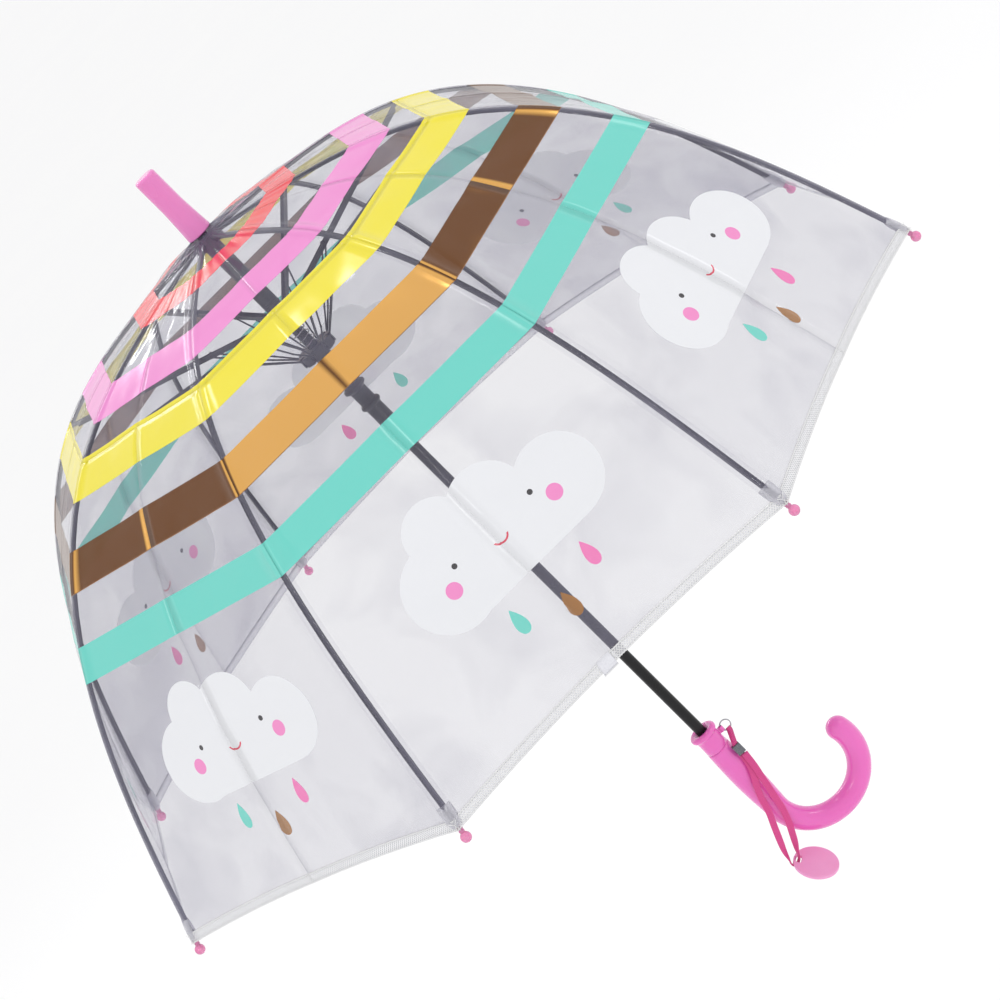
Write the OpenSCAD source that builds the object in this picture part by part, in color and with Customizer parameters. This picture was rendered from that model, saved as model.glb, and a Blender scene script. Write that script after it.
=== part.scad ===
// Child's dome umbrella with a clear eight-panel canopy, an automatic two-hub frame and a crook handle.
// Lengths are in millimetres. +Z runs up the shaft to the ferrule, and the origin is in the straight grip.

/* [Ribs] */
// Length of a rib from the crown ring to the stretcher pin
upper_rib_len = 162; // [130:1:195]
// Length of a rib from the stretcher pin to the end of its channel
lower_rib_len = 317; // [260:1:385]
// Slope of a rib at the crown, in degrees below level
crown_slope = 6; // [0:1:10]
// Slope of a rib at the stretcher pin
pin_slope = 26; // [20:1:32]
// Slope of a rib at the hem
hem_slope = 69; // [60:1:76]
// Width of the rib channel
rib_w = 3; // [2.6:0.1:3.6]
// Height of the rib's back above its pin line
rib_back = 1.8; // [1.7:0.1:2.4]
// Depth of the rib's flanges below its pin line
rib_lip = 0.6; // [0.4:0.1:1]
// Sheet thickness of ribs and stretchers
sheet_t = 0.5; // [0.4:0.05:0.6]
// Diameter of a rib tip's ball
tip_d = 7; // [6:0.1:9]

/* [Shaft] */
// Outer diameter of the tubular shaft
shaft_d = 8; // [7:0.1:10]
// Wall of the tubular shaft
shaft_wall = 0.6; // [0.4:0.05:1]
// Height of the crown above the middle of the grip
crown_height = 545; // [520:1:660]
// How far the shaft goes into the ferrule
ferrule_socket = 36; // [20:1:42]
// How far the shaft goes below the middle of the grip
shaft_tail = 18; // [5:1:25]

/* [Ferrule] */
// Length of the ferrule cap above the canopy
ferrule_len = 52; // [46:1:70]
// Diameter of the ferrule at the canopy
ferrule_base_d = 18.6; // [14:0.1:24]
// Height over which the ferrule narrows
ferrule_taper = 24; // [0:1:30]
// Diameter of the ferrule's straight end
ferrule_end_d = 15.8; // [12:0.1:20]

/* [Hubs] */
// Radius of the two wire rings that ribs and stretchers hinge on
ring_r = 9; // [8.6:0.1:10]
// Radius of the runner's wire ring
runner_ring_r = 12; // [12:0.1:14]
// Depth of the crown ring below the top of the canopy
crown_ring_depth = 7; // [6:0.1:10]
// Distance from the upper hub's ring to the runner's ring, open
runner_gap = 32; // [28:1:40]
// Length of the runner below its ring
runner_len = 90; // [60:1:100]
// Outer diameter of the stop sleeve and of the hubs' barrels
barrel_d = 12; // [11:0.1:12.4]
// Distance from the upper hub's ring to the wires along a stretcher
wire_reach = 50; // [40:1:60]
// Diameter of the spreader wires
wire_d = 1.2; // [1:0.1:1.4]

/* [Handle] */
// Height of the collar's mouth above the middle of the grip
collar_top = 48; // [40:1:60]
// Height of the joint between collar and handle
collar_base = 30; // [24:1:34]
// Diameter of the collar's rolled lip
lip_d = 21.4; // [19:0.1:26]
// Diameter of the collar
collar_d = 17.8; // [16:0.1:20]
// Diameter of the grip at its fullest
grip_d = 20.4; // [18:0.1:24]
// Diameter of the crook's tube
crook_d = 17.6; // [14:0.1:18.4]
// Radius of the crook's centreline
crook_r = 35.5; // [28:0.5:44]
// Depth of the crook's centre below the middle of the grip
crook_drop = 33; // [30:1:60]
// Angle that the crook turns through
crook_turn = 194; // [150:1:215]

/* [Strap] */
// Width of the wrist strap
strap_w = 5; // [4:0.1:6]
// Thickness of the wrist strap
strap_t = 1; // [0.8:0.1:1.4]
// Diameter of the tag on the strap
tag_d = 33; // [26:0.5:40]
// Thickness of the tag
tag_t = 2.4; // [1.6:0.1:4]

/* [Canopy] */
// How far the hem rises between two tips
hem_rise = 5; // [0:1:30]
// Thickness of the canopy film's solid
film_t = 0.5; // [0.3:0.1:0.8]
// Width of the woven tape round the hem
hem_w = 7; // [5:0.5:10]

/* [Hidden] */
$fn = 48;

frame_black = [0.07, 0.07, 0.08];
plastic_black = [0.1, 0.1, 0.11];
steel = [0.75, 0.76, 0.78];
handle_pink = [0.93, 0.44, 0.78];
strap_pink = [0.95, 0.33, 0.62];
tag_pink = [0.95, 0.65, 0.82];
tip_pink = [0.95, 0.5, 0.73];
film_clear = [0.85, 0.86, 0.92, 0.3];
tape_white = [0.93, 0.93, 0.95];

rib_count = 8;
// Radial clearance of a sliding or turning fit
run_fit = 0.05;
// Side clearance between linkage pieces that pass each other
side_fit = 0.15;
pin_d = 1;
ring_wire_d = 1;
// Extra bore for an eye that turns on the curved ring wire
ring_play = 0.15;
tongue_w = 2;
elbow_tongue_w = rib_w - 2 * sheet_t - 2 * side_fit;
eye_d = 2.4;
shaft_r = shaft_d / 2;
crown_ring_z = crown_height - crown_ring_depth;
upper_steps = 16;
lower_steps = 20;
// Bare tongue between the two channels at the stretcher pin
joint_gap = 4;
tip_rod = 7;
tip_neck_d = 3.6;

// Slope of the rib at distance s from the crown ring: it bends most at the stretcher pin
function rib_slope(s) = s < upper_rib_len
    ? crown_slope + (pin_slope - crown_slope) * pow(s / upper_rib_len, 2)
    : hem_slope - (hem_slope - pin_slope) * pow(1 - (s - upper_rib_len) / lower_rib_len, 2);
function down(slope) = [cos(slope), -sin(slope)];
// Points along a rib in its own plane, each a distance from the axis and a height
function rib_walk(start, s, ds, steps) =
    [for (i = 0, p = start; i <= steps; p = p + ds * down(rib_slope(s + (i + 0.5) * ds)), i = i + 1) p];
function part_of(path, from, to) = [for (i = [from:to]) path[i]];
function along(path, i) = let (d = path[min(i + 1, len(path) - 1)] - path[max(i - 1, 0)]) d / norm(d);
function beside(path, i, offset) = path[i] + offset * [-along(path, i)[1], along(path, i)[0]];
function parallel(path, offset) = [for (i = [0:len(path) - 1]) beside(path, i, offset)];
function reversed(list) = [for (i = [len(list) - 1:-1:0]) list[i]];

upper_path = rib_walk([ring_r, crown_ring_z], 0, upper_rib_len / upper_steps, upper_steps);
elbow = upper_path[upper_steps];
tongue_path = rib_walk(elbow, upper_rib_len, joint_gap, 1);
lower_path = rib_walk(tongue_path[1], upper_rib_len + joint_gap,
    (lower_rib_len - joint_gap) / lower_steps, lower_steps);
rib_end = lower_path[lower_steps];

// The upper hub hangs as far below the elbow as the crown ring is above it
hub_z = 2 * elbow[1] - crown_ring_z;
runner_z = hub_z - runner_gap;
crown_pin = [ring_r, crown_ring_z];
hub_pin = [ring_r, hub_z];
runner_pin = [runner_ring_r, runner_z];
stretcher_dir = (elbow - hub_pin) / norm(elbow - hub_pin);
wire_foot = hub_pin + wire_reach * stretcher_dir;

// Places its children in the plane of rib i
module at_rib(i) {
    rotate([0, 0, 360 / rib_count * (i - 0.5)])
        children();
}

// A flat plate w wide, standing in the rib plane
module plate(w) {
    rotate([90, 0, 0])
        linear_extrude(w, center = true)
            children();
}

module strip(path, low, high) {
    polygon(concat(parallel(path, high), reversed(parallel(path, low))));
}

// A disc or pin across the rib plane at point p
module across(p, d, w) {
    translate([p[0], 0, p[1]])
        rotate([90, 0, 0])
            cylinder(h = w, d = d, center = true);
}

module rod(a, b, d) {
    v = b - a;
    translate(a)
        rotate([0, acos(v[2] / norm(v)), atan2(v[1], v[0])])
            cylinder(h = norm(v), d = d);
}

module tube(d, bore, low, high) {
    translate([0, 0, low])
        difference() {
            cylinder(h = high - low, d = d);
            translate([0, 0, -1])
                cylinder(h = high - low + 2, d = bore);
        }
}

module ring(r, d) {
    rotate_extrude()
        translate([r, 0])
            circle(d = d);
}

// ---- Ribs ----

rivet_head_d = 2.4;
rivet_head_t = 0.5;
stretcher_inner = rib_w + 2 * side_fit;
stretcher_w = stretcher_inner + 2 * sheet_t;
joint_w = stretcher_w + 2 * side_fit;

// Pin with a flat head at each side
module rivet(p, w) {
    across(p, pin_d, w + rivet_head_t);
    for (side = [-1, 1])
        translate([0, side * (w + rivet_head_t) / 2, 0])
            across(p, rivet_head_d, rivet_head_t);
}

module rib_upper(i) {
    color(frame_black)
        at_rib(i) {
            difference() {
                union() {
                    plate(rib_w)
                        strip(part_of(upper_path, 1, upper_steps), -rib_lip, rib_back);
                    plate(tongue_w)
                        strip(part_of(upper_path, 0, 2), -rib_lip, rib_back - sheet_t);
                    across(crown_pin, eye_d, tongue_w);
                    across(elbow, 2 * (rib_lip + 0.7), rib_w);
                }
                plate(rib_w - 2 * sheet_t)
                    strip(part_of(upper_path, 2, upper_steps), -rib_back, rib_back - sheet_t);
                plate(rib_w - 2 * sheet_t)
                    strip([elbow - 1.2 * along(upper_path, upper_steps), elbow + 4 * down(pin_slope)],
                        -2 * rib_back, 2 * rib_back);
                across(elbow, pin_d + 2 * run_fit, 2 * rib_w);
                across(crown_pin, ring_wire_d + 2 * ring_play, 2 * rib_w);
            }
            rivet(elbow, joint_w);
        }
}

module rib_lower(i) {
    end_dir = along(lower_path, lower_steps);
    rod_from = beside(lower_path, lower_steps, (rib_back - rib_lip) / 2) - 2 * end_dir;
    rod_to = rod_from + (2 + tip_rod) * end_dir;
    color(frame_black)
        at_rib(i) {
            difference() {
                union() {
                    plate(rib_w)
                        strip(lower_path, -rib_lip, rib_back);
                    plate(elbow_tongue_w)
                        strip(concat(tongue_path, [lower_path[1]]), -rib_lip, rib_back - 1.2 * sheet_t);
                    across(elbow, eye_d, elbow_tongue_w);
                }
                plate(rib_w - 2 * sheet_t)
                    strip(part_of(lower_path, 1, lower_steps - 1), -rib_back, rib_back - sheet_t);
                across(elbow, pin_d + 2 * run_fit, 2 * rib_w);
            }
            rod([rod_from[0], 0, rod_from[1]], [rod_to[0], 0, rod_to[1]], pin_d + 1.2);
        }
}

// Ball end that the corner of the canopy is tied to
module tip(i) {
    end_dir = along(lower_path, lower_steps);
    neck_from = beside(lower_path, lower_steps, (rib_back - rib_lip) / 2) + 0.2 * end_dir;
    ball = neck_from + (tip_rod + 2.2) * end_dir;
    color(tip_pink)
        at_rib(i)
            difference() {
                union() {
                    rod([neck_from[0], 0, neck_from[1]], [ball[0], 0, ball[1]], tip_neck_d);
                    translate([ball[0], 0, ball[1]])
                        sphere(d = tip_d);
                }
                rod([neck_from[0], 0, neck_from[1]] - [end_dir[0], 0, end_dir[1]],
                    [neck_from[0], 0, neck_from[1]] + tip_rod * [end_dir[0], 0, end_dir[1]],
                    pin_d + 1.2 + 2 * run_fit);
            }
}

// ---- Stretchers and spreader wires ----

stretcher_back = 2.1;
stretcher_lip = 0.9;
web_cut = 7;

module stretcher(i) {
    inner_end = hub_pin + 6 * stretcher_dir;
    outer_end = elbow;
    color(frame_black)
        at_rib(i)
            difference() {
                union() {
                    plate(stretcher_w)
                        strip([inner_end, outer_end], -stretcher_back, stretcher_lip);
                    plate(tongue_w)
                        strip([hub_pin, inner_end + 4 * stretcher_dir], -stretcher_lip, stretcher_lip);
                    across(hub_pin, eye_d, tongue_w);
                    across(elbow, 2 * stretcher_lip, stretcher_w);
                }
                plate(stretcher_inner)
                    strip([inner_end + 4 * stretcher_dir, outer_end + 4 * stretcher_dir],
                        -stretcher_back + sheet_t, 2 * stretcher_back);
                plate(stretcher_inner)
                    strip([outer_end - web_cut * stretcher_dir, outer_end + 4 * stretcher_dir],
                        -2 * stretcher_back, 2 * stretcher_back);
                plate(2 * stretcher_w)
                    strip([outer_end - (web_cut - 3) * stretcher_dir, outer_end + 4 * stretcher_dir],
                        -2 * stretcher_back, -stretcher_lip);
                across(elbow, pin_d + 2 * run_fit, 2 * stretcher_w);
                across(hub_pin, ring_wire_d + 2 * ring_play, 2 * stretcher_w);
            }
}

wire_spread = 20;

// A pair of wires from one eye on the runner, which part and then run beside the stretcher
module spreader_wires(i) {
    foot_y = stretcher_w / 2 + side_fit + wire_d / 2;
    eye_y = tongue_w / 2 - wire_d / 2;
    wire_dir = (wire_foot - runner_pin) / norm(wire_foot - runner_pin);
    root = runner_pin + 0.9 * wire_dir;
    knee = runner_pin + wire_spread * wire_dir;
    color(frame_black)
        at_rib(i)
            difference() {
                union() {
                    across(runner_pin, eye_d, tongue_w);
                    for (side = [-1, 1]) {
                        rod([root[0], side * eye_y, root[1]], [knee[0], side * foot_y, knee[1]], wire_d);
                        translate([knee[0], side * foot_y, knee[1]])
                            sphere(d = wire_d + 0.4);
                        rod([knee[0], side * foot_y, knee[1]],
                            [wire_foot[0], side * foot_y, wire_foot[1]], wire_d);
                        translate([0, side * foot_y, 0])
                            across(wire_foot, 2 * wire_d, wire_d);
                    }
                }
                across(runner_pin, ring_wire_d + 2 * ring_play, 2 * tongue_w);
            }
}

// ---- Hubs on the shaft ----

slot_w = tongue_w + 2 * side_fit;
wire_slot_w = slot_w + 1.1;
flange_below = 4;
crown_above = 3.4;
hub_above = 4;
runner_above = 3;

// Slotted flange round a wire ring of radius r, its slots open above, below and outside
module slotted_flange(r, rim, z, above, slot) {
    slot_floor = r - eye_d / 2 - 0.5;
    difference() {
        tube(2 * (r + rim), shaft_d + 2 * run_fit, z - flange_below, z + above);
        for (i = [1:rib_count])
            at_rib(i)
                translate([slot_floor, -slot / 2, z - flange_below - 1])
                    cube([2 * rim + r, slot, flange_below + above + 2]);
        translate([0, 0, z])
            ring(r, ring_wire_d + 2 * run_fit);
    }
}

module ring_wire(r, z) {
    color(steel)
        translate([0, 0, z])
            ring(r, ring_wire_d);
}

module crown_notch() {
    color(plastic_black)
        slotted_flange(ring_r, 2.5, crown_ring_z, crown_above, slot_w);
}

module crown_wire() {
    ring_wire(ring_r, crown_ring_z);
}

hub_barrel = 12;
sleeve_gap = 0.3;

// Spacer tube that the upper hub stops against
module stop_sleeve() {
    color(plastic_black)
        tube(barrel_d, shaft_d + 2 * run_fit, hub_z + hub_barrel + sleeve_gap,
            crown_ring_z - flange_below - run_fit);
}

module upper_hub() {
    color(plastic_black) {
        slotted_flange(ring_r, 1.5, hub_z, hub_above, slot_w);
        tube(barrel_d, shaft_d + 2 * run_fit, hub_z, hub_z + hub_barrel);
    }
}

module hub_wire() {
    ring_wire(ring_r, hub_z);
}

runner_end_z = runner_z - runner_len;
lip_drop = 37;
bead_drop = 52;
keyway_w = 3.4;

// Lower hub with its long sleeve, finger lip and bead
module runner() {
    color(plastic_black)
        difference() {
            union() {
                slotted_flange(runner_ring_r, 2, runner_z, runner_above, wire_slot_w);
                tube(barrel_d, shaft_d + 2 * run_fit, runner_end_z, runner_z);
                translate([0, 0, runner_z - lip_drop])
                    rotate_extrude()
                        polygon([[barrel_d / 2 - 1, -3], [barrel_d / 2 + 2.6, 0],
                            [barrel_d / 2 + 2.6, 1.4], [barrel_d / 2 - 1, 5]]);
                translate([0, 0, runner_z - bead_drop])
                    rotate_extrude()
                        translate([barrel_d / 2 - 0.4, 0])
                            circle(d = 4.4);
            }
            translate([0, 0, runner_end_z - 1])
                cylinder(h = runner_len, d = shaft_d + 2 * run_fit);
            translate([-keyway_w / 2, 0, runner_end_z - 1])
                cube([keyway_w, barrel_d, 23]);
        }
}

module runner_wire() {
    ring_wire(runner_ring_r, runner_z);
}

spring_wire = 0.9;
spring_turns = 5;
spring_d = shaft_d + 2.9;

// Open coil between the upper hub and the runner
module opening_spring() {
    low = runner_z + runner_above + spring_wire / 2 + run_fit;
    high = hub_z - flange_below - spring_wire / 2 - run_fit;
    sides = 8;
    rings = 18 * spring_turns;
    // One ring of points round the wire at angle a along the coil
    function coil_ring(a, z) = [for (k = [0:sides - 1]) let (t = 360 * k / sides)
        [(spring_d / 2 + spring_wire / 2 * cos(t)) * cos(a), (spring_d / 2 + spring_wire / 2 * cos(t)) * sin(a),
            z + spring_wire / 2 * sin(t)]];
    points = [for (j = [0:rings]) each coil_ring(360 * spring_turns * j / rings, low + (high - low) * j / rings)];
    walls = [for (j = [0:rings - 1], k = [0:sides - 1])
        [j * sides + k, (j + 1) * sides + k, (j + 1) * sides + (k + 1) % sides, j * sides + (k + 1) % sides]];
    ends = [[for (k = [0:sides - 1]) k], [for (k = [sides - 1:-1:0]) rings * sides + k]];
    color(steel)
        polyhedron(points, concat(walls, ends), convexity = 8);
}

// ---- Shaft, ferrule and latch ----

shaft_bore = shaft_d - 2 * shaft_wall;
button_z = (collar_top + collar_base) / 2 - 3;
button_w = 6;
button_h = 7;
nose_w = 2.4;
nose_z = 122;
nose_h = 5;
blade_t = 0.8;
blade_y = shaft_bore / 2 - 1.4 - blade_t;
button_travel = 2;
button_floor = shaft_r + 0.6;

module shaft() {
    color(frame_black)
        difference() {
            tube(shaft_d, shaft_bore, -shaft_tail, crown_height + ferrule_socket);
            translate([-nose_w / 2 - 0.4, 0, nose_z - 1.5])
                cube([nose_w + 0.8, shaft_d, nose_h + 3]);
            translate([-1.7, 0, button_z - 3])
                cube([3.4, shaft_d, 6]);
        }
}

module ferrule() {
    bevel = 1.4;
    base_r = ferrule_base_d / 2;
    end_r = ferrule_end_d / 2;
    color(handle_pink)
        translate([0, 0, crown_height - 0.5])
            difference() {
                rotate_extrude()
                    polygon([[0, 0], [base_r - 0.6, 0], [base_r, 0.8],
                        [end_r, ferrule_taper + 1], [end_r, ferrule_len - bevel], [end_r - bevel, ferrule_len], [0, ferrule_len]]);
                translate([0, 0, -1])
                    cylinder(h = ferrule_socket + 2, d = shaft_d + 2 * run_fit);
            }
}

// Flat spring in the shaft: its nose catches the runner, its foot is behind the button
module latch_blade() {
    color(steel)
        translate([-nose_w / 2, 0, 0]) {
            translate([0, blade_y, button_z - 6])
                cube([nose_w, blade_t, nose_z + nose_h - button_z + 6]);
            translate([0, blade_y, nose_z])
                cube([nose_w, shaft_r + 1.3 - blade_y, nose_h]);
        }
}

module release_button() {
    stem_w = 2.6;
    color(handle_pink)
        intersection() {
            translate([0, 0, button_z])
                union() {
                    translate([-button_w / 2, button_floor + 0.3 + button_travel, -button_h / 2])
                        cube([button_w, collar_d, button_h]);
                    translate([-stem_w / 2, blade_y + blade_t + run_fit, -2])
                        cube([stem_w, shaft_r + 4 - blade_y, 4]);
                }
            translate([0, 0, button_z])
                rotate([0, 90, 0])
                    cylinder(h = 20, r = collar_d / 2 + 1.6, center = true);
        }
}

// ---- Collar and handle ----

lug_x = collar_d / 2 + 2.2;
lug_z = collar_top - 10;
lug_hole = 2.2;
ring_wire_r = 4;
split_ring_d = 1;
ring_x = lug_x + ring_wire_r;

module handle_collar() {
    lip_r = 2.6;
    color(handle_pink)
        difference() {
            union() {
                rotate_extrude()
                    polygon([[shaft_r, collar_base], [collar_d / 2, collar_base],
                        [collar_d / 2, collar_top - 2 * lip_r], [lip_d / 2 - lip_r, collar_top - 2 * lip_r],
                        [lip_d / 2 - lip_r, collar_top], [shaft_r, collar_top - 3]]);
                translate([0, 0, collar_top - lip_r])
                    ring(lip_d / 2 - lip_r, 2 * lip_r);
                translate([collar_d / 2 - 1, -1.4, lug_z - 2.2])
                    cube([lug_x - collar_d / 2 + 3, 2.8, 4.4]);
            }
            translate([0, 0, collar_base - 1])
                cylinder(h = collar_top, d = shaft_d + 2 * run_fit);
            translate([0, 0, collar_top - 2.4])
                cylinder(h = 4, d = shaft_d + 2);
            translate([lug_x, 0, lug_z - 4])
                cylinder(h = 8, d = lug_hole);
            translate([-button_w / 2 - side_fit, button_floor, button_z - button_h / 2 - side_fit])
                cube([button_w + 2 * side_fit, collar_d, button_h + 2 * side_fit]);
            translate([-1.7, 0, button_z - 3])
                cube([3.4, collar_d, 6]);
        }
}

// Step where the crook's tube meets the grip and the rounded end
moulding_step = 0.1;

// Straight grip and crook in one moulding
module handle() {
    neck_r = collar_d / 2 + 0.3;
    foot_r = crook_d / 2 + moulding_step;
    foot_z = -crook_drop - 1;
    color(handle_pink) {
        difference() {
            rotate_extrude()
                polygon(concat([[0, foot_z], [foot_r, foot_z]],
                    [for (k = [1:7]) let (t = k / 8)
                        [foot_r + (neck_r - foot_r) * t
                            + (grip_d / 2 - (foot_r + neck_r) / 2) * sin(180 * t),
                            foot_z + (collar_base - 1.5 - foot_z) * t]],
                    [[neck_r, collar_base - 1.5], [neck_r - 0.9, collar_base - 1.1],
                        [neck_r - 0.9, collar_base], [0, collar_base]]));
            translate([0, 0, -shaft_tail - 2])
                cylinder(h = collar_base + shaft_tail + 4, d = shaft_d + 2 * run_fit);
        }
        translate([crook_r, 0, -crook_drop])
            rotate([90, 180, 0]) {
                rotate_extrude(angle = crook_turn)
                    translate([crook_r, 0])
                        circle(d = crook_d);
                rotate([0, 0, crook_turn])
                    translate([crook_r, 0, 0])
                        rotate([90, 0, 0])
                            sphere(d = crook_d + 4 * moulding_step);
            }
    }
}

// ---- Wrist strap ----

// Route of the strap's two legs: down the front of the grip, round the tag's bar and back up
strap_route = [[9, -8.2, 17], [7.5, -10.6, 8], [4, -12.6, 0], [0, -13.2, -7], [-3.5, -13.2, -16],
    [-6.5, -13, -27], [-11, -12.6, -38], [-15, -12.6, -48], [-18.4, -12.8, -57], [-20.2, -13.6, -64],
    [-21.5, -13, -68.4], [-19.6, -12, -71.4], [-16.4, -11.4, -71], [-14, -12, -68.6], [-12, -12.6, -64],
    [-8.6, -12.4, -58], [-4.6, -12, -50], [-1, -11.8, -42], [2, -12, -33], [4, -13.4, -22],
    [6, -14, -12], [7.6, -13.6, -3], [9.4, -12.2, 6], [10.8, -10, 17]];
clip_mid = [10, -9.2, 22];
clip_size = [6.4, 4.2, 8.4];
// Middle of the tag's slot, which the strap runs through
tag_slot = [-15.8, -11.6, -70.4];
tag_tilt = [0, 46, -32];
tag_slot_inset = 4;

function unit(v) = v / norm(v);
function route_dir(i) = unit(strap_route[min(i + 1, len(strap_route) - 1)] - strap_route[max(i - 1, 0)]);
// The strap lies flat to the front, and turns on edge where it goes round the tag
function route_turn(i) = 90 * max(0, 1 - max(0, abs(i - 11.5) - 1.5) / 3.5);
function route_side(i) = let (d = route_dir(i), flat = unit(cross(d, [0, 1, 0])))
    cos(route_turn(i)) * flat + sin(route_turn(i)) * cross(flat, d);

// Flat webbing swept along the route
module wrist_strap() {
    last = len(strap_route) - 1;
    // Eight corners of the webbing's section, as shares of its width and thickness
    section = [[-0.5, -0.2], [-0.4, -0.5], [0.4, -0.5], [0.5, -0.2], [0.5, 0.2], [0.4, 0.5], [-0.4, 0.5],
        [-0.5, 0.2]];
    points = [for (i = [0:last], c = section)
        strap_route[i] + strap_w * c[0] * route_side(i)
            + strap_t * c[1] * cross(route_side(i), route_dir(i))];
    walls = [for (i = [0:last - 1], k = [0:7])
        [i * 8 + k, i * 8 + (k + 1) % 8, (i + 1) * 8 + (k + 1) % 8, (i + 1) * 8 + k]];
    ends = [[for (k = [7:-1:0]) k], [for (k = [0:7]) last * 8 + k]];
    color(strap_pink)
        polyhedron(points, concat(walls, ends), convexity = 8);
}

module strap_ring() {
    color(steel)
        translate([ring_x, 0, lug_z])
            rotate([90, 0, 0])
                ring(ring_wire_r, split_ring_d);
}

// Crimped end clip with the webbing eye that hangs on the ring
module strap_clip() {
    eye_top = [ring_x, 0, lug_z - ring_wire_r];
    color([0.25, 0.25, 0.27])
        translate(clip_mid)
            cube(clip_size, center = true);
    color(strap_pink)
        hull() {
            translate(clip_mid + [0, 0, clip_size[2] / 2 - 0.5])
                cube([strap_w, 2.4, 1], center = true);
            translate(eye_top - [0, 0, split_ring_d / 2 + 0.8])
                cube([strap_w - 1, 2.4, 1], center = true);
        }
}

module tag_disc() {
    slot = [tag_slot_inset, strap_w + 2.4, 2 * tag_t + 2];
    color(tag_pink)
        translate(tag_slot)
            rotate(tag_tilt)
                difference() {
                    translate([tag_d / 2 - tag_slot_inset, 0, 0])
                        cylinder(h = tag_t, d = tag_d, center = true);
                    cube(slot, center = true);
                }
}

// ---- Canopy ----

film_gap = 1;
hem_end = 4;
film_path = concat([[shaft_r + run_fit + 0.2, crown_height - 1.2 - rib_back - film_gap]],
    part_of(upper_path, 2, upper_steps), part_of(lower_path, 1, lower_steps));

panel_columns = 4;
last_row = len(film_path) - 1;
row_step = (lower_rib_len - joint_gap) / lower_steps;
hem_start = last_row - (hem_w - hem_end) / row_step;
// The rise measured down the slope, in rows
rise_rows = hem_rise / sin(hem_slope) / row_step;

// Point of a path at row u, which may lie between two points or just past the last
function at_row(path, u) = let (k = min(floor(u), len(path) - 2)) path[k] + (u - k) * (path[k + 1] - path[k]);
// Row u at share t of the way between two ribs, drawn up towards the crown as the hem is
function drawn_row(u, t) = u - rise_rows * 4 * t * (1 - t) * pow(u / last_row, 4);
function round_axis(p, a) = [p[0] * cos(a), p[0] * sin(a), p[1]];
function between_ribs(p, i, t) = (1 - t) * round_axis(p, 360 / rib_count * (i - 0.5))
    + t * round_axis(p, 360 / rib_count * (i + 0.5));

// Closed shell over the ribs, flat across from rib to rib, between two heights above their pin lines
module eight_panel_shell(rows, low, high) {
    outer = parallel(film_path, high);
    inner = parallel(film_path, low);
    m = 2 * len(rows);
    columns = rib_count * panel_columns;
    points = [for (c = [0:columns - 1]) let (i = floor(c / panel_columns), t = c / panel_columns - i)
        each concat([for (u = rows) between_ribs(at_row(outer, drawn_row(u, t)), i, t)],
            [for (u = reversed(rows)) between_ribs(at_row(inner, drawn_row(u, t)), i, t)])];
    faces = [for (c = [0:columns - 1], k = [0:m - 1])
        [c * m + k, c * m + (k + 1) % m, (c + 1) % columns * m + (k + 1) % m, (c + 1) % columns * m + k]];
    polyhedron(points, faces, convexity = 4);
}

module canopy() {
    color(film_clear)
        eight_panel_shell(concat([0], [for (u = [1:2:last_row - 1]) u], [hem_start]),
            rib_back + film_gap, rib_back + film_gap + film_t);
}

module hem_tape() {
    color(tape_white)
        eight_panel_shell([hem_start, hem_start + hem_w / row_step],
            rib_back + film_gap - 0.2, rib_back + film_gap + film_t + 0.2);
}

shaft();
ferrule();
crown_notch();
crown_wire();
stop_sleeve();
upper_hub();
hub_wire();
runner();
runner_wire();
opening_spring();
latch_blade();
release_button();
handle_collar();
handle();
strap_ring();
strap_clip();
wrist_strap();
tag_disc();
canopy();
hem_tape();
for (i = [1:rib_count]) {
    rib_upper(i);
    rib_lower(i);
    tip(i);
    stretcher(i);
    spreader_wires(i);
}
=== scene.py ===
import math

import bmesh
import bpy
from mathutils import Matrix, Vector, noise


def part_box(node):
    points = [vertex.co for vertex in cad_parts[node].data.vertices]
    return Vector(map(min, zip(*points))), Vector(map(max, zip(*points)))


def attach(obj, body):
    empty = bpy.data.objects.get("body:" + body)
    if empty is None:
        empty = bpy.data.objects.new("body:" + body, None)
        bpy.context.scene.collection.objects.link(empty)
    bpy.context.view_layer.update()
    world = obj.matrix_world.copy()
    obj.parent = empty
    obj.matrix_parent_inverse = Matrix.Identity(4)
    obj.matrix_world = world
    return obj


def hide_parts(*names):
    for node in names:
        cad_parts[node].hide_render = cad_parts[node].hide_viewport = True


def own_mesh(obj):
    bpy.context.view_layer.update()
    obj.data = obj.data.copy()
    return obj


bl_info = {
    "name": "Child's Dome Umbrella",
    "version": (1, 0, 0),
    "blender": (4, 5, 0),
    "location": "View3D > Sidebar > Umbrella",
    "description": "Builds the film canopy, mouldings, webbing and finishes of a child's dome umbrella",
    "category": "Object",
}

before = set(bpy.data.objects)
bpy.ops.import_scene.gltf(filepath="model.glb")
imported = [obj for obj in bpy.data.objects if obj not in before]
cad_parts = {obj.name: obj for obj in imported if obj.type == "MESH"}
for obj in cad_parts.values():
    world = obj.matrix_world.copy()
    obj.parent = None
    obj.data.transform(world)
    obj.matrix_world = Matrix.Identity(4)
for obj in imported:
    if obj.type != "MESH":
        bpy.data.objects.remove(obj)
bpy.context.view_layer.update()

MM = 0.001
RIBS = range(1, 9)
PANEL_ANGLE = math.radians(45)

# The rib's own law: lengths along it in millimetres, slopes in degrees below level
UPPER_LENGTH = 162.0
LOWER_LENGTH = 317.0
CROWN_SLOPE = 6.0
PIN_SLOPE = 26.0
HEM_SLOPE = 69.0
PIN_TONGUE = 2.0

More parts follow.
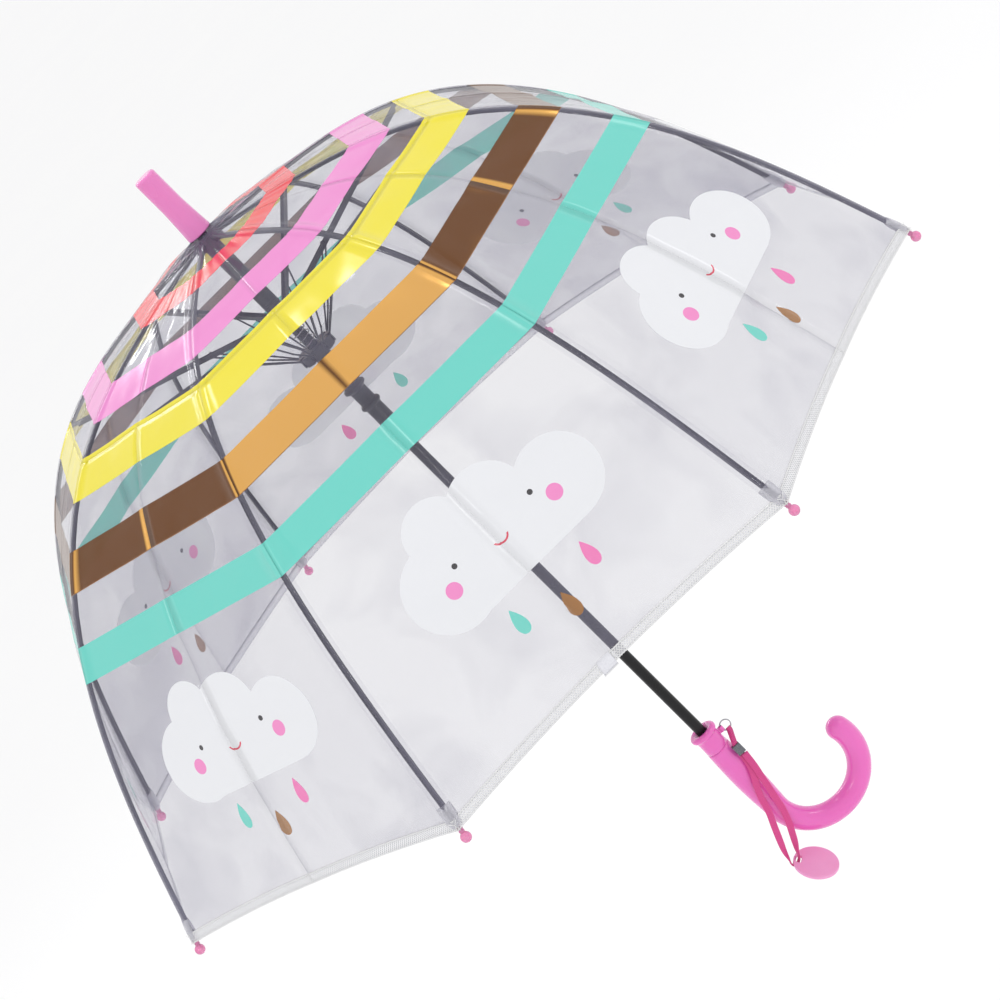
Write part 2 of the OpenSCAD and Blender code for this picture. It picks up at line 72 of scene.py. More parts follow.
# The strap's route from the clip, round the tag and back to the clip, in millimetres
STRAP_ROUTE = [(9, -8.2, 17), (7.5, -10.6, 8), (4, -12.6, 0), (0, -13.2, -7), (-3.5, -13.2, -16),
               (-6.5, -13, -27), (-11, -12.6, -38), (-15, -12.6, -48), (-18.4, -12.8, -57),
               (-20.2, -13.6, -64), (-21.5, -13, -68.4), (-19.6, -12, -71.4), (-16.4, -11.4, -71),
               (-14, -12, -68.6), (-12, -12.6, -64), (-8.6, -12.4, -58), (-4.6, -12, -50),
               (-1, -11.8, -42), (2, -12, -33), (4, -13.4, -22), (6, -14, -12), (7.6, -13.6, -3),
               (9.4, -12.2, 6), (10.8, -10, 17)]
TAG_SLOT = Vector((-15.8, -11.6, -70.4)) * MM
TAG_TILT = (0, 46, -32)
SPLIT_RING_CENTRE = Vector((15.1, 0, 38)) * MM
LUG_HOLE = Vector((11.1, 0, 38)) * MM

# Printed rings of one panel: start and end in millimetres down the film, colour, opacity
PRINTED_RINGS = [
    (47.8, 71.0, "#EC3A45", 0.93), (112.9, 142.3, "#EB86CC", 0.95), (165.1, 193.7, "#ECDD12", 0.97),
    (226.0, 253.4, "#8A5A2C", 0.97), (285.3, 308.9, "#62D0C3", 0.96)]
# Cloud lobes: centre across and down the panel, and radius, in millimetres
CLOUD_LOBES = [(50.8, 385.7, 27), (11.6, 367.5, 25), (-21.6, 357.9, 21), (-38.6, 385.5, 28.6)]
CLOUD_BODY = (6.0, 391.5, 45.0, 21.5)
CLOUD_DOTS = [(32.7, 379.8, 1.8, "#1E1A22"), (-28.0, 379.8, 1.8, "#1E1A22"),
              (43.0, 390.0, 5.2, "#EE86C4"), (-38.0, 390.0, 5.2, "#EE86C4")]
CLOUD_DROPS = [(32.5, 420.6, "#EC6FB4"), (4.4, 434.2, "#A06A2C"), (-23.7, 420.4, "#62CFC2")]
DROP_LENGTH = 17.6
DROP_WIDTH = 8.4
# The smile is the lower arc of a ring, in millimetres on the cut panel
SMILE_ACROSS, SMILE_DOWN, SMILE_RADIUS, SMILE_HALF_LINE, SMILE_TOP = 2.4, 385.0, 5.2, 0.6, 387.2

# How far the hem rises in the middle of a panel, in millimetres
HEM_RISE = 5.4
# Points laid from the crown to the rib, and how far and how often the line there is smoothed
LEAD_POINTS, SMOOTHED_POINTS, SMOOTHING_PASSES = 24, 60, 60
SLEEVE_THICKNESS, TAPE_THICKNESS, TAB_THICKNESS = 0.0002, 0.0004, 0.0005
# The rib end's sleeve: place along the rib, half width and half height, in millimetres
SLEEVE_RINGS = ((2.2, 2.6, 2.3), (1.8, 3.3, 2.6), (0, 4.2, 2.7), (-4, 4.9, 2.6), (-9, 5.2, 2.3),
                (-12, 5.3, 1.8), (-13, 5.2, 1.4))

# Camera, floor and lights, in metres but for the lens
CAMERA_LENS = 105.35
CAMERA_PLACE = Vector((31.4, -1895.6, 857.8)) * MM
CAMERA_AIM = Vector((15.05, 0, 271.6)) * MM
CAMERA_UP = Vector((0.706, 0.215, 0.675))
FLOOR_REACH, FLOOR_HEIGHT = 40, -0.5
SOFTBOX_AIM = Vector((0, 0, 0.32))
# Softboxes: name, place, size and power in watts
SOFTBOXES = (
    ("key_softbox", (-1.5, -1.7, 2.3), (0.12, 1.5), 7),
    ("side_softbox", (2.1, -0.9, 1.5), (0.1, 1.5), 5),
    ("back_softbox", (-0.7, 2.1, 1.5), (1.5, 0.1), 5),
    ("top_softbox", (0.3, 0.2, 2.4), (0.3, 0.3), 3))


# ---- Small tools ----

def linear(hex_colour, alpha=1.0):
    """Linear RGBA of an sRGB hex colour."""
    channels = [int(hex_colour[i:i + 2], 16) / 255 for i in (1, 3, 5)]
    return [c / 12.92 if c <= 0.04045 else ((c + 0.055) / 1.055) ** 2.4 for c in channels] + [alpha]


def add(tree, kind, inputs=None, **settings):
    """Adds one node; an input's value is a number, a colour, another node or an output socket."""
    node = tree.nodes.new(kind)
    for key, value in settings.items():
        setattr(node, key, value)
    for key, value in (inputs or {}).items():
        if isinstance(value, bpy.types.Node):
            value = value.outputs[0]
        if isinstance(value, bpy.types.NodeSocket):
            tree.links.new(value, node.inputs[key])
        else:
            node.inputs[key].default_value = value
    return node


def new_material(name):
    """A material with an empty node tree and its output node."""
    material = bpy.data.materials.new(name)
    material.use_nodes = True
    material.node_tree.nodes.clear()
    return material, material.node_tree


def maths(tree, operation, *values):
    """One sum of numbers or nodes."""
    return add(tree, "ShaderNodeMath", dict(enumerate(values)), operation=operation)


def ranged(tree, value, low, high, to_low, to_high):
    """A value moved from one range to another and kept inside it."""
    return add(tree, "ShaderNodeMapRange", {0: value, 1: low, 2: high, 3: to_low, 4: to_high})


def mixed(tree, share, first, second):
    """The colour between two, by share."""
    return add(tree, "ShaderNodeMix", {0: share, 6: first, 7: second}, data_type="RGBA").outputs[2]


def grain(tree, place, scale, detail):
    """Noise over the piece's own coordinates."""
    return add(tree, "ShaderNodeTexNoise",
               {"Vector": place.outputs["Object"], "Scale": scale, "Detail": detail})


def distance(tree, cut, centre):
    """How far a point of the cut panel lies from a centre."""
    return add(tree, "ShaderNodeVectorMath", {0: cut, 1: centre},
               operation="DISTANCE").outputs["Value"]


def surface(tree, settings):
    """A material's one shader, joined to its output."""
    skin = add(tree, "ShaderNodeBsdfPrincipled", settings)
    add(tree, "ShaderNodeOutputMaterial", {0: skin})


def mesh_piece(name, points, faces, material, smooth=True):
    """An object at the origin from points in metres."""
    mesh = bpy.data.meshes.new(name)
    mesh.from_pydata([tuple(p) for p in points], [], faces)
    mesh.validate()
    mesh.materials.append(material)
    mesh.polygons.foreach_set("use_smooth", [smooth] * len(mesh.polygons))
    mesh.update()
    piece = bpy.data.objects.new(name, mesh)
    bpy.context.scene.collection.objects.link(piece)
    return piece


def face_outward(piece):
    """Merges doubles and points a closed mesh's faces outward."""
    work = bmesh.new()
    work.from_mesh(piece.data)
    bmesh.ops.remove_doubles(work, verts=work.verts, dist=1e-6)
    bmesh.ops.recalc_face_normals(work, faces=work.faces)
    work.to_mesh(piece.data)
    work.free()
    piece.data.update()
    return piece


def grid_faces(rows, columns, around=False, closed=False, flip=False):
    """Quads between rows; around joins a row's ends, closed joins last row to first."""
    faces = []
    for r in range(rows if closed else rows - 1):
        for k in range(columns if around else columns - 1):
            q, n = (r + 1) % rows, (k + 1) % columns
            a, b, c, d = r * columns + k, r * columns + n, q * columns + n, q * columns + k
            faces.append((a, d, c, b) if flip else (a, b, c, d))
    return faces


def thicken(piece, name, thickness):
    """Gives a sheet its thickness, inward from its outer face."""
    modifier = piece.modifiers.new(name, "SOLIDIFY")
    modifier.thickness, modifier.offset = thickness, -1
    return modifier


def circle(radius, steps):
    """A round section for a sweep."""
    turns = [2 * math.pi * k / steps for k in range(steps)]
    return [(radius * math.cos(a), radius * math.sin(a)) for a in turns]


def lathe(name, profile, material, steps=64, place=None):
    """Turns a profile of (radius, height) in millimetres round Z, then moves it by place."""
    points, faces, rings = [], [], []
    for radius, height in profile:
        if radius < 1e-6:
            rings.append([len(points)])
            points.append(Vector((0, 0, height)) * MM)
            continue
        rings.append(list(range(len(points), len(points) + steps)))
        for k in range(steps):
            a = 2 * math.pi * k / steps
            points.append(Vector((radius * math.cos(a), radius * math.sin(a), height)) * MM)
    closed = rings if len(rings[0]) == 1 else rings + [rings[0]]
    for low, high in zip(closed, closed[1:]):
        for k in range(steps):
            n = (k + 1) % steps
            if len(low) == 1 and len(high) > 1:
                faces.append((low[0], high[n], high[k]))
            elif len(high) == 1 and len(low) > 1:
                faces.append((low[k], low[n], high[0]))
            elif len(low) > 1:
                faces.append((low[k], low[n], high[n], high[k]))
    if place is not None:
        points = [place @ p for p in points]
    return face_outward(mesh_piece(name, points, faces, material))


def rounded(profile, radius, steps=4):
    """A profile with its inner corners rounded; the first and last points stay."""
    out = [profile[0]]
    for before, corner, after in zip(profile, profile[1:], profile[2:]):
        a, c, b = Vector(before), Vector(corner), Vector(after)
        reach = min(radius, (a - c).length * 0.45, (b - c).length * 0.45)
        start, end = c + (a - c).normalized() * reach, c + (b - c).normalized() * reach
        for k in range(steps + 1):
            t = k / steps
            out.append(tuple(start * (1 - t) ** 2 + c * 2 * t * (1 - t) + end * t ** 2))
    out.append(profile[-1])
    return out


def spline(points, per_span):
    """Catmull-Rom curve through the points."""
    ends = [points[0] * 2 - points[1]] + list(points) + [points[-1] * 2 - points[-2]]
    out = []
    for i in range(1, len(ends) - 2):
        a, b, c, d = ends[i - 1:i + 3]
        for k in range(per_span):
            t = k / per_span
            out.append(0.5 * ((2 * b) + (c - a) * t + (2 * a - 5 * b + 4 * c - d) * t * t
                              + (3 * b - a - 3 * c + d) * t ** 3))
    out.append(points[-1].copy())
    return out


def directions(path):
    """Unit direction at each point of a path."""
    last = len(path) - 1
    return [(path[min(i + 1, last)] - path[max(i - 1, 0)]).normalized() for i in range(last + 1)]


def path_frames(path, side_hint):
    """Direction, side and up at each point of a path, with no sudden twist."""
    frames = []
    for along in directions(path):
        side = along.cross(side_hint)
        side = side.normalized() if side.length > 1e-6 else Vector((1, 0, 0))
        frames.append((along, side, side.cross(along)))
    return frames


def sweep(name, path, frames, section, material, scale=None):
    """Sweeps a closed section of (side, up) in metres along a path and closes its ends."""
    points, n = [], len(section)
    for i, (p, (_, side, up)) in enumerate(zip(path, frames)):
        s = scale[i] if scale else 1.0
        points += [p + side * (x * s) + up * (y * s) for x, y in section]
    faces = grid_faces(len(path), n, around=True)
    faces += [tuple(range(n)), tuple(reversed(range((len(path) - 1) * n, len(path) * n)))]
    return face_outward(mesh_piece(name, points, faces, material))


def joined(name, pieces):
    """One object from several closed ones, which keep their materials."""
    work = bmesh.new()
    materials = []
    for piece in pieces:
        material = piece.data.materials[0]
        if material not in materials:
            materials.append(material)
        index = materials.index(material)
        old = len(work.faces)
        work.from_mesh(piece.data)
        work.faces.ensure_lookup_table()
        for face in work.faces[old:]:
            face.material_index = index
        bpy.data.objects.remove(piece)
    mesh = bpy.data.meshes.new(name)
    work.to_mesh(mesh)
    work.free()
    for material in materials:
        mesh.materials.append(material)
    piece = bpy.data.objects.new(name, mesh)
    bpy.context.scene.collection.objects.link(piece)
    return piece


def evaluated_mesh(piece):
    """Turns a piece's modifiers into its plain mesh."""
    graph = bpy.context.evaluated_depsgraph_get()
    mesh = bpy.data.meshes.new_from_object(piece.evaluated_get(graph), depsgraph=graph)
    piece.modifiers.clear()
    piece.data = mesh
    return piece


def set_tree_input(modifier, name, value):
    """Sets a geometry tree's input by its socket's identifier."""
    for item in modifier.node_group.interface.items_tree:
        if item.item_type == "SOCKET" and item.in_out == "INPUT" and item.name == name:
            modifier[item.identifier] = value
            return
    raise RuntimeError("no input called " + name)


# ---- Finishes ----

def painted_steel(name, colour, roughness, grain_mm):
    """Black stoving paint over steel: dark, satin, with a faint orange peel and softer patches."""
    material, tree = new_material(name)
    place = add(tree, "ShaderNodeTexCoord")
    peel = grain(tree, place, 1 / (grain_mm * MM), 3.0)
    patches = grain(tree, place, 70.0, 2.0)
    gloss = ranged(tree, patches, 0.3, 0.7, roughness - 0.06, roughness + 0.08)
    tint = mixed(tree, patches, linear(colour), linear("#121215"))
    bump = add(tree, "ShaderNodeBump", {"Height": peel, "Strength": 0.12, "Distance": 0.00004})
    surface(tree,
            {"Base Color": tint, "Roughness": gloss, "Normal": bump, "IOR": 1.5, "Metallic": 0.0,
             "Specular IOR Level": 0.35})
    return material


def moulded_plastic(name, colour, shade, roughness, coat, parting=False, scatter=0.0):
    """Injection-moulded plastic: even colour, a soft gloss and, on a handle, a fine parting line."""
    material, tree = new_material(name)
    place = add(tree, "ShaderNodeTexCoord")
    flow = grain(tree, place, 45.0, 2.0)
    skin_grain = grain(tree, place, 1400.0, 2.0)
    tint = mixed(tree, flow, linear(colour), linear(shade))
    height = maths(tree, "MULTIPLY", skin_grain, 0.25)
    if parting:
        split = add(tree, "ShaderNodeSeparateXYZ", {0: place.outputs["Object"]})
        away = maths(tree, "ABSOLUTE", split.outputs[1])
        line = ranged(tree, away, 0.0001, 0.0005, 1.0, 0.0)
        height = maths(tree, "ADD", height, line)
    bump = add(tree, "ShaderNodeBump", {"Height": height, "Strength": 0.18, "Distance": 0.0001})
    gloss = ranged(tree, flow, 0.3, 0.7, roughness - 0.04, roughness + 0.05)
    surface(tree,
            {"Base Color": tint, "Roughness": gloss, "Normal": bump, "IOR": 1.5,
             "Coat Weight": coat, "Coat Roughness": 0.08, "Subsurface Weight": scatter,
             "Subsurface Radius": (0.004, 0.002, 0.002), "Subsurface Scale": 0.5})
    return material


def plated_wire(name, colour, roughness):
    """Drawn and plated wire: bright metal with fine lengthwise streaks in its gloss."""
    material, tree = new_material(name)
    place = add(tree, "ShaderNodeTexCoord")
    streaks = grain(tree, place, 900.0, 3.0)
    gloss = ranged(tree, streaks, 0.3, 0.7, roughness - 0.08, roughness + 0.1)
    tint = mixed(tree, streaks, linear(colour), linear("#8B8D92"))
    surface(tree, {"Base Color": tint, "Roughness": gloss, "Metallic": 1.0})
    return material


def ribbed_webbing(name, colour, painted_valley_shade):
    """Woven nylon strap: cords run along it, crossed every half millimetre by the weft."""
    material, tree = new_material(name)
    lay = add(tree, "ShaderNodeUVMap", uv_map="lay")
    split = add(tree, "ShaderNodeSeparateXYZ", {0: lay})
    # Seven warp cords over 5 mm, weft every 0.9 mm, drawn coarser than the real 0.4 mm so that it shows
    warp_turn = maths(tree, "MULTIPLY", split.outputs[0], 2 * math.pi * 7 / 0.005)
    warp = maths(tree, "COSINE", warp_turn)
    weft_turn = maths(tree, "MULTIPLY", split.outputs[1], 2 * math.pi / 0.0009)
    weft = maths(tree, "SINE", weft_turn)
    weave = maths(tree, "MULTIPLY_ADD", weft, 0.5, warp)
    depth = ranged(tree, weave, -1.5, 1.5, 0.0, 1.0)
    # Valleys of the weave drawn in a deeper pink: painted shade between the cords
    tint = mixed(tree, depth, linear(painted_valley_shade), linear(colour))
    bump = add(tree, "ShaderNodeBump", {"Height": depth, "Strength": 0.6, "Distance": 0.0002})
    surface(tree,
            {"Base Color": tint, "Roughness": 0.5, "Normal": bump, "IOR": 1.53,
             "Sheen Weight": 0.25, "Sheen Roughness": 0.4})
    return material


def printed_pattern(tree):
    """Rings, cloud and drops of one panel from the film's cut pattern: colour and cover."""
    cut = add(tree, "ShaderNodeUVMap", uv_map="cut")
    split = add(tree, "ShaderNodeSeparateXYZ", {0: cut})
    across, down = split.outputs[0], split.outputs[1]
    share = maths(tree, "MULTIPLY", down, 2.0)
    rings = add(tree, "ShaderNodeValToRGB", {0: share})
    rings.color_ramp.interpolation = "CONSTANT"
    rings.color_ramp.elements[1].position = 1.0
    rings.color_ramp.elements[0].color = rings.color_ramp.elements[1].color = linear("#DAD9E3", 0.0)
    for low, high, colour, cover in PRINTED_RINGS:
        rings.color_ramp.elements.new(low / 500).color = linear(colour, cover)
        rings.color_ramp.elements.new(high / 500).color = linear(colour, 0.0)
    colour, cover = rings.outputs[0], rings.outputs[1]

    gold_low, gold_high = PRINTED_RINGS[3][:2]
    past_low = maths(tree, "GREATER_THAN", down, gold_low * MM)
    before_high = maths(tree, "LESS_THAN", down, gold_high * MM)
    gold = maths(tree, "MULTIPLY", past_low, before_high).outputs[0]
    # Metallic gold ink drawn bright gold where it faces the view and bronze brown at a slant: a painted
    # highlight
    turn = add(tree, "ShaderNodeLayerWeight", {0: 0.5})
    slant = ranged(tree, turn.outputs["Facing"], 0.2, 0.36, 0.0, 1.0)
    gold_painted_highlight = mixed(tree, slant, linear("#E3AC5C"), linear("#6E4420"))
    colour = mixed(tree, gold, colour, gold_painted_highlight)

    body_u = maths(tree, "SUBTRACT", across, CLOUD_BODY[0] * MM)
    body_v = maths(tree, "SUBTRACT", down, CLOUD_BODY[1] * MM)
    size_u = maths(tree, "ABSOLUTE", body_u)
    size_v = maths(tree, "ABSOLUTE", body_v)
    in_u = maths(tree, "LESS_THAN", size_u, CLOUD_BODY[2] * MM)
    in_v = maths(tree, "LESS_THAN", size_v, CLOUD_BODY[3] * MM)
    cloud = maths(tree, "MULTIPLY", in_u, in_v)
    for u, v, radius in CLOUD_LOBES:
        away = distance(tree, cut, (u * MM, v * MM, 0))
        lobe = maths(tree, "LESS_THAN", away, radius * MM)
        cloud = maths(tree, "MAXIMUM", cloud, lobe)
    colour = mixed(tree, cloud, colour, linear("#E6E7EB"))
    filled = maths(tree, "MULTIPLY", cloud, 0.97)
    cover = maths(tree, "MAXIMUM", cover, filled)

    for u, v, radius, dot_colour in CLOUD_DOTS:
        away = distance(tree, cut, (u * MM, v * MM, 0))
        dot = maths(tree, "LESS_THAN", away, radius * MM)
        colour = mixed(tree, dot, colour, linear(dot_colour))
    # Smile: the lower arc of a small ring
    away = distance(tree, cut, (SMILE_ACROSS * MM, SMILE_DOWN * MM, 0))
    off_line = maths(tree, "SUBTRACT", away, SMILE_RADIUS * MM)
    size = maths(tree, "ABSOLUTE", off_line)
    on_line = maths(tree, "LESS_THAN", size, SMILE_HALF_LINE * MM)
    below = maths(tree, "GREATER_THAN", down, SMILE_TOP * MM)
    smile = maths(tree, "MULTIPLY", on_line, below)
    colour = mixed(tree, smile, colour, linear("#D8405A"))

    for u, v, drop_colour in CLOUD_DROPS:
        t = ranged(tree, down, v * MM, (v + DROP_LENGTH) * MM, 0.0, 1.0)
        left = maths(tree, "SUBTRACT", 1.0, t)
        root = maths(tree, "SQRT", left)
        shape = maths(tree, "MULTIPLY", t, root)
        half = maths(tree, "MULTIPLY", shape, DROP_WIDTH * MM / 2 / 0.385)
        off = maths(tree, "SUBTRACT", across, u * MM)
        off = maths(tree, "ABSOLUTE", off)
        drop = maths(tree, "LESS_THAN", off, half)
        colour = mixed(tree, drop, colour, linear(drop_colour))
        filled = maths(tree, "MULTIPLY", drop, 0.9)
        cover = maths(tree, "MAXIMUM", cover, filled)
    return colour, cover.outputs[0], gold


def clear_film(name, face):
    """Clear soft vinyl film with screen-printed ink: glossy, a little grey, milky where it is welded."""
    outside = face == "outside"
    material, tree = new_material(name)
    colour, cover, gold = printed_pattern(tree)
    seam = add(tree, "ShaderNodeUVMap", uv_map="seam")
    split = add(tree, "ShaderNodeSeparateXYZ", {0: seam})
    weld = ranged(tree, split.outputs[0], 0.0052, 0.0058, 1.0, 0.0)
    place = add(tree, "ShaderNodeTexCoord")
    wavy_shade_noise = add(tree, "ShaderNodeTexNoise",
               {"Vector": place.outputs["Object"], "Scale": 17.0, "Detail": 2.0, "Distortion": 0.6})
    # Soft grey waves some 60 mm across, stronger on the outside: painted shade on the film
    painted_wavy_shade = ranged(tree, wavy_shade_noise, 0.42, 0.7, 0.0, 0.13 if outside else 0.03)
    # The film's grey shows more at grazing angles: painted reflection
    slant = add(tree, "ShaderNodeLayerWeight", {0: 0.25})
    edge = maths(tree, "MULTIPLY", slant.outputs["Facing"], 0.34 if outside else 0.12)
    base = maths(tree, "ADD", painted_wavy_shade, edge)
    # The film is drawn greyer and less clear from the crown towards the hem: painted shade
    painted_shade_to_hem = ranged(tree, split.outputs[1], 0.2, 0.42, 0.09 if outside else 0.03,
                     0.25 if outside else 0.07)
    base = maths(tree, "ADD", base, painted_shade_to_hem)
    # Milky doubled film over the weld, added to the painted shade and painted reflection above
    weld_milk_and_painted_shade = maths(tree, "MULTIPLY_ADD", weld, 0.07 if outside else 0.02, base)
    ink = maths(tree, "MULTIPLY", cover, 1.0 if outside else 0.55)
    alpha = maths(tree, "MAXIMUM", ink, weld_milk_and_painted_shade)
    bare = linear("#8B889F" if outside else "#918FA2")
    tint = maths(tree, "GREATER_THAN", cover, 0.02)
    shown = mixed(tree, tint, bare, colour)
    settings = {"Base Color": shown, "Alpha": alpha, "IOR": 1.5, "Roughness": 0.07,
                "Specular IOR Level": 1.0}
    if outside:
        metal = maths(tree, "MULTIPLY", gold, 0.75)
        settings["Metallic"] = metal.outputs[0]
        ripple = grain(tree, place, 34.0, 1.0)
        settings["Normal"] = add(tree, "ShaderNodeBump", {"Height": ripple, "Strength": 0.35,
                                                          "Distance": 0.004})
        ink_gloss = ranged(tree, tint, 0.0, 1.0, 0.07, 0.22)
        settings["Roughness"] = ink_gloss
    surface(tree, settings)
    return material


def plain_film(name, colour, cover):
    """Clear vinyl without print, for sleeves and the carrier of the hem tape."""
    material, tree = new_material(name)
    slant = add(tree, "ShaderNodeLayerWeight", {0: 0.3})
    place = add(tree, "ShaderNodeTexCoord")
    cloudy = grain(tree, place, 120.0, 2.0)
    # The film's colour shows more at grazing angles: painted reflection
    edge = maths(tree, "MULTIPLY_ADD", slant.outputs["Facing"], 0.3, cover)
    alpha = maths(tree, "MULTIPLY_ADD", cloudy, 0.12, edge)
    surface(tree,
            {"Base Color": linear(colour), "Alpha": alpha, "IOR": 1.5, "Roughness": 0.12,
             "Specular IOR Level": 0.8})
    return material


def polyester_thread(name, colour):
    """Bright spun polyester: matt white with a soft sheen and slightly darker strands."""
    material, tree = new_material(name)
    place = add(tree, "ShaderNodeTexCoord")
    strands = grain(tree, place, 1600.0, 2.0)
    tint = mixed(tree, strands, linear(colour), linear("#C9C9D2"))
    surface(tree,
            {"Base Color": tint, "Roughness": 0.55, "IOR": 1.55, "Sheen Weight": 0.3,
             "Sheen Roughness": 0.4})
    return material


def clear_pink_plastic(name, colour):
    """Pink clear acrylic of the rib ends: light goes in and comes out coloured."""
    material, tree = new_material(name)
    place = add(tree, "ShaderNodeTexCoord")
    flow = grain(tree, place, 260.0, 2.0)
    tint = mixed(tree, flow, linear(colour), linear("#FBB6D8"))
    surface(tree,
            {"Base Color": tint, "Roughness": 0.12, "IOR": 1.49, "Transmission Weight": 0.35,
             "Subsurface Weight": 0.3, "Subsurface Radius": (0.004, 0.002, 0.003),
             "Subsurface Scale": 0.6})
    return material


FINISHES = {}


def make_finishes(colours):
    """All the finishes by name, made once."""
    pink = colours.handle_hex
    FINISHES.update({"rib_paint": painted_steel("stoved_black_rib_steel", "#070708", 0.36, 0.5),
                     "shaft_paint": painted_steel("stoved_black_shaft_steel", "#060607", 0.3, 0.8),
                     "hub_nylon": moulded_plastic("moulded_black_nylon", "#0D0D0F", "#151518", 0.42,
                                                  0.0),
                     "zinc_wire": plated_wire("zinc_plated_wire", "#C9CBD0", 0.3),
                     "spring_wire": plated_wire("plated_spring_wire", "#B9BBC1", 0.25),
                     "clip_metal": plated_wire("black_nickel_plate", "#4B4B52", 0.22),
                     "handle_pink": moulded_plastic("gloss_moulded_pink_handle", pink,
                                                    colours.handle_shade_hex, 0.2, 0.7,
                                                    parting=True, scatter=0.08),
                     "ferrule_pink": moulded_plastic("gloss_moulded_pink_ferrule",
                                                     colours.ferrule_hex, "#E77DC2", 0.24, 0.5,
                                                     scatter=0.08),
                     "tip_pink": clear_pink_plastic("clear_pink_acrylic_rib_ends", "#F173B4"),
                     "strap_pink": ribbed_webbing("woven_nylon_webbing", colours.strap_hex,
                                                  "#C22C78"),
                     "tag_pink": moulded_plastic("soft_moulded_pink_tag", colours.tag_hex,
                                                 "#EE98CB", 0.5, 0.05, scatter=0.15),
                     "film_outside": clear_film("printed_clear_vinyl_outside", "outside"),
                     "film_inside": clear_film("printed_clear_vinyl_inside", "inside"),
                     "film_plain": plain_film("clear_vinyl_sleeve", "#DCDBE4", 0.28),
                     "tape_film": plain_film("frosted_hem_carrier", "#E9E9F0", 0.38),
                     "tape_thread": polyester_thread("white_polyester_thread", "#F4F4F8"),
                     "dark_thread": polyester_thread("dark_polyester_thread", "#2A2A33"), })


# ---- Geometry trees ----

def smooth_by_edge_tree(limit_degrees):
    """Joins a CAD body's loose triangles for shading and keeps its real edges sharp."""
    tree = bpy.data.node_groups.new("cad_surface_shading", "GeometryNodeTree")
    tree.interface.new_socket("Geometry", in_out="INPUT", socket_type="NodeSocketGeometry")
    limit = tree.interface.new_socket("Edge Angle", in_out="INPUT", socket_type="NodeSocketFloat")
    limit.default_value = math.radians(limit_degrees)
    tree.interface.new_socket("Geometry", in_out="OUTPUT", socket_type="NodeSocketGeometry")
    source = add(tree, "NodeGroupInput")
    welded = add(tree, "GeometryNodeMergeByDistance",
                 {"Geometry": source.outputs[0], "Distance": 1e-6})
    angle = add(tree, "GeometryNodeInputMeshEdgeAngle")
    soft = add(tree, "FunctionNodeCompare", {0: angle.outputs[0], 1: source.outputs[1]},
               operation="LESS_THAN")
    faces = add(tree, "GeometryNodeSetShadeSmooth", {"Geometry": welded, "Shade Smooth": True},
                domain="FACE")
    edges = add(tree, "GeometryNodeSetShadeSmooth",
                {"Geometry": faces, "Shade Smooth": soft.outputs[0]}, domain="EDGE")
    add(tree, "NodeGroupOutput", {0: edges})
    return tree


def crossed_threads_tree(name):
    """Lays short threads across a guide line at an even pitch, leaning one way or the other."""
    tree = bpy.data.node_groups.new(name, "GeometryNodeTree")
    tree.interface.new_socket("Geometry", in_out="INPUT", socket_type="NodeSocketGeometry")
    for label, kind in (("Pitch", "NodeSocketFloat"), ("Thread Length", "NodeSocketFloat"),
                        ("Thread Diameter", "NodeSocketFloat"), ("Lean", "NodeSocketFloat"),
                        ("Material", "NodeSocketMaterial")):
        tree.interface.new_socket(label, in_out="INPUT", socket_type=kind)
    tree.interface.new_socket("Geometry", in_out="OUTPUT", socket_type="NodeSocketGeometry")
    source = add(tree, "NodeGroupInput")
    guide = add(tree, "GeometryNodeMeshToCurve", {0: source.outputs["Geometry"]})
    dots = add(tree, "GeometryNodeCurveToPoints",
               {"Curve": guide, "Length": source.outputs["Pitch"]}, mode="LENGTH")
    outward = add(tree, "GeometryNodeInputNamedAttribute", {"Name": "outward"},
                  data_type="FLOAT_VECTOR")
    facing = add(tree, "FunctionNodeAlignRotationToVector", {"Vector": outward.outputs[0]},
                 axis="Z")
    along = add(tree, "FunctionNodeAlignRotationToVector",
                {"Rotation": facing, "Vector": dots.outputs["Tangent"]}, axis="X", pivot_axis="Z")
    lean = add(tree, "ShaderNodeCombineXYZ", {2: source.outputs["Lean"]})
    leaning = add(tree, "FunctionNodeRotateRotation", {"Rotation": along, "Rotate By": lean},
                  rotation_space="LOCAL")
    line = add(tree, "GeometryNodeMeshCylinder",
               {"Vertices": 4, "Side Segments": 1, "Radius": 0.5, "Depth": 1.0}, fill_type="NGON")
    lying = add(tree, "GeometryNodeTransform", {"Geometry": line.outputs["Mesh"],
                                                "Rotation": (0.0, math.pi / 2, 0.0)})
    size = add(tree, "ShaderNodeCombineXYZ", {0: source.outputs["Thread Length"],
                                              1: source.outputs["Thread Diameter"],
                                              2: source.outputs["Thread Diameter"]})
    laid = add(tree, "GeometryNodeInstanceOnPoints",
               {"Points": dots.outputs["Points"], "Instance": lying, "Rotation": leaning,
                "Scale": size})
    real = add(tree, "GeometryNodeRealizeInstances", {0: laid})
    done = add(tree, "GeometryNodeSetMaterial",
               {"Geometry": real, "Material": source.outputs["Material"]})
    add(tree, "NodeGroupOutput", {0: done})
    return tree


def laid_threads(name, guide_points, outward, tree, pitch, length, diameter, lean, material):
    """Runs the thread tree on a guide line and returns plain threads."""
    mesh = bpy.data.meshes.new(name)
    mesh.from_pydata([tuple(p) for p in guide_points],
                     [(i, i + 1) for i in range(len(guide_points) - 1)], [])
    layer = mesh.attributes.new("outward", "FLOAT_VECTOR", "POINT")
    for i, v in enumerate(outward):
        layer.data[i].vector = v
    piece = bpy.data.objects.new(name, mesh)
    bpy.context.scene.collection.objects.link(piece)
    modifier = piece.modifiers.new("threads", "NODES")
    modifier.node_group = tree
    for label, value in (("Pitch", pitch), ("Thread Length", length), ("Thread Diameter", diameter),
                         ("Lean", lean), ("Material", material)):
        set_tree_input(modifier, label, value)
    return evaluated_mesh(piece)


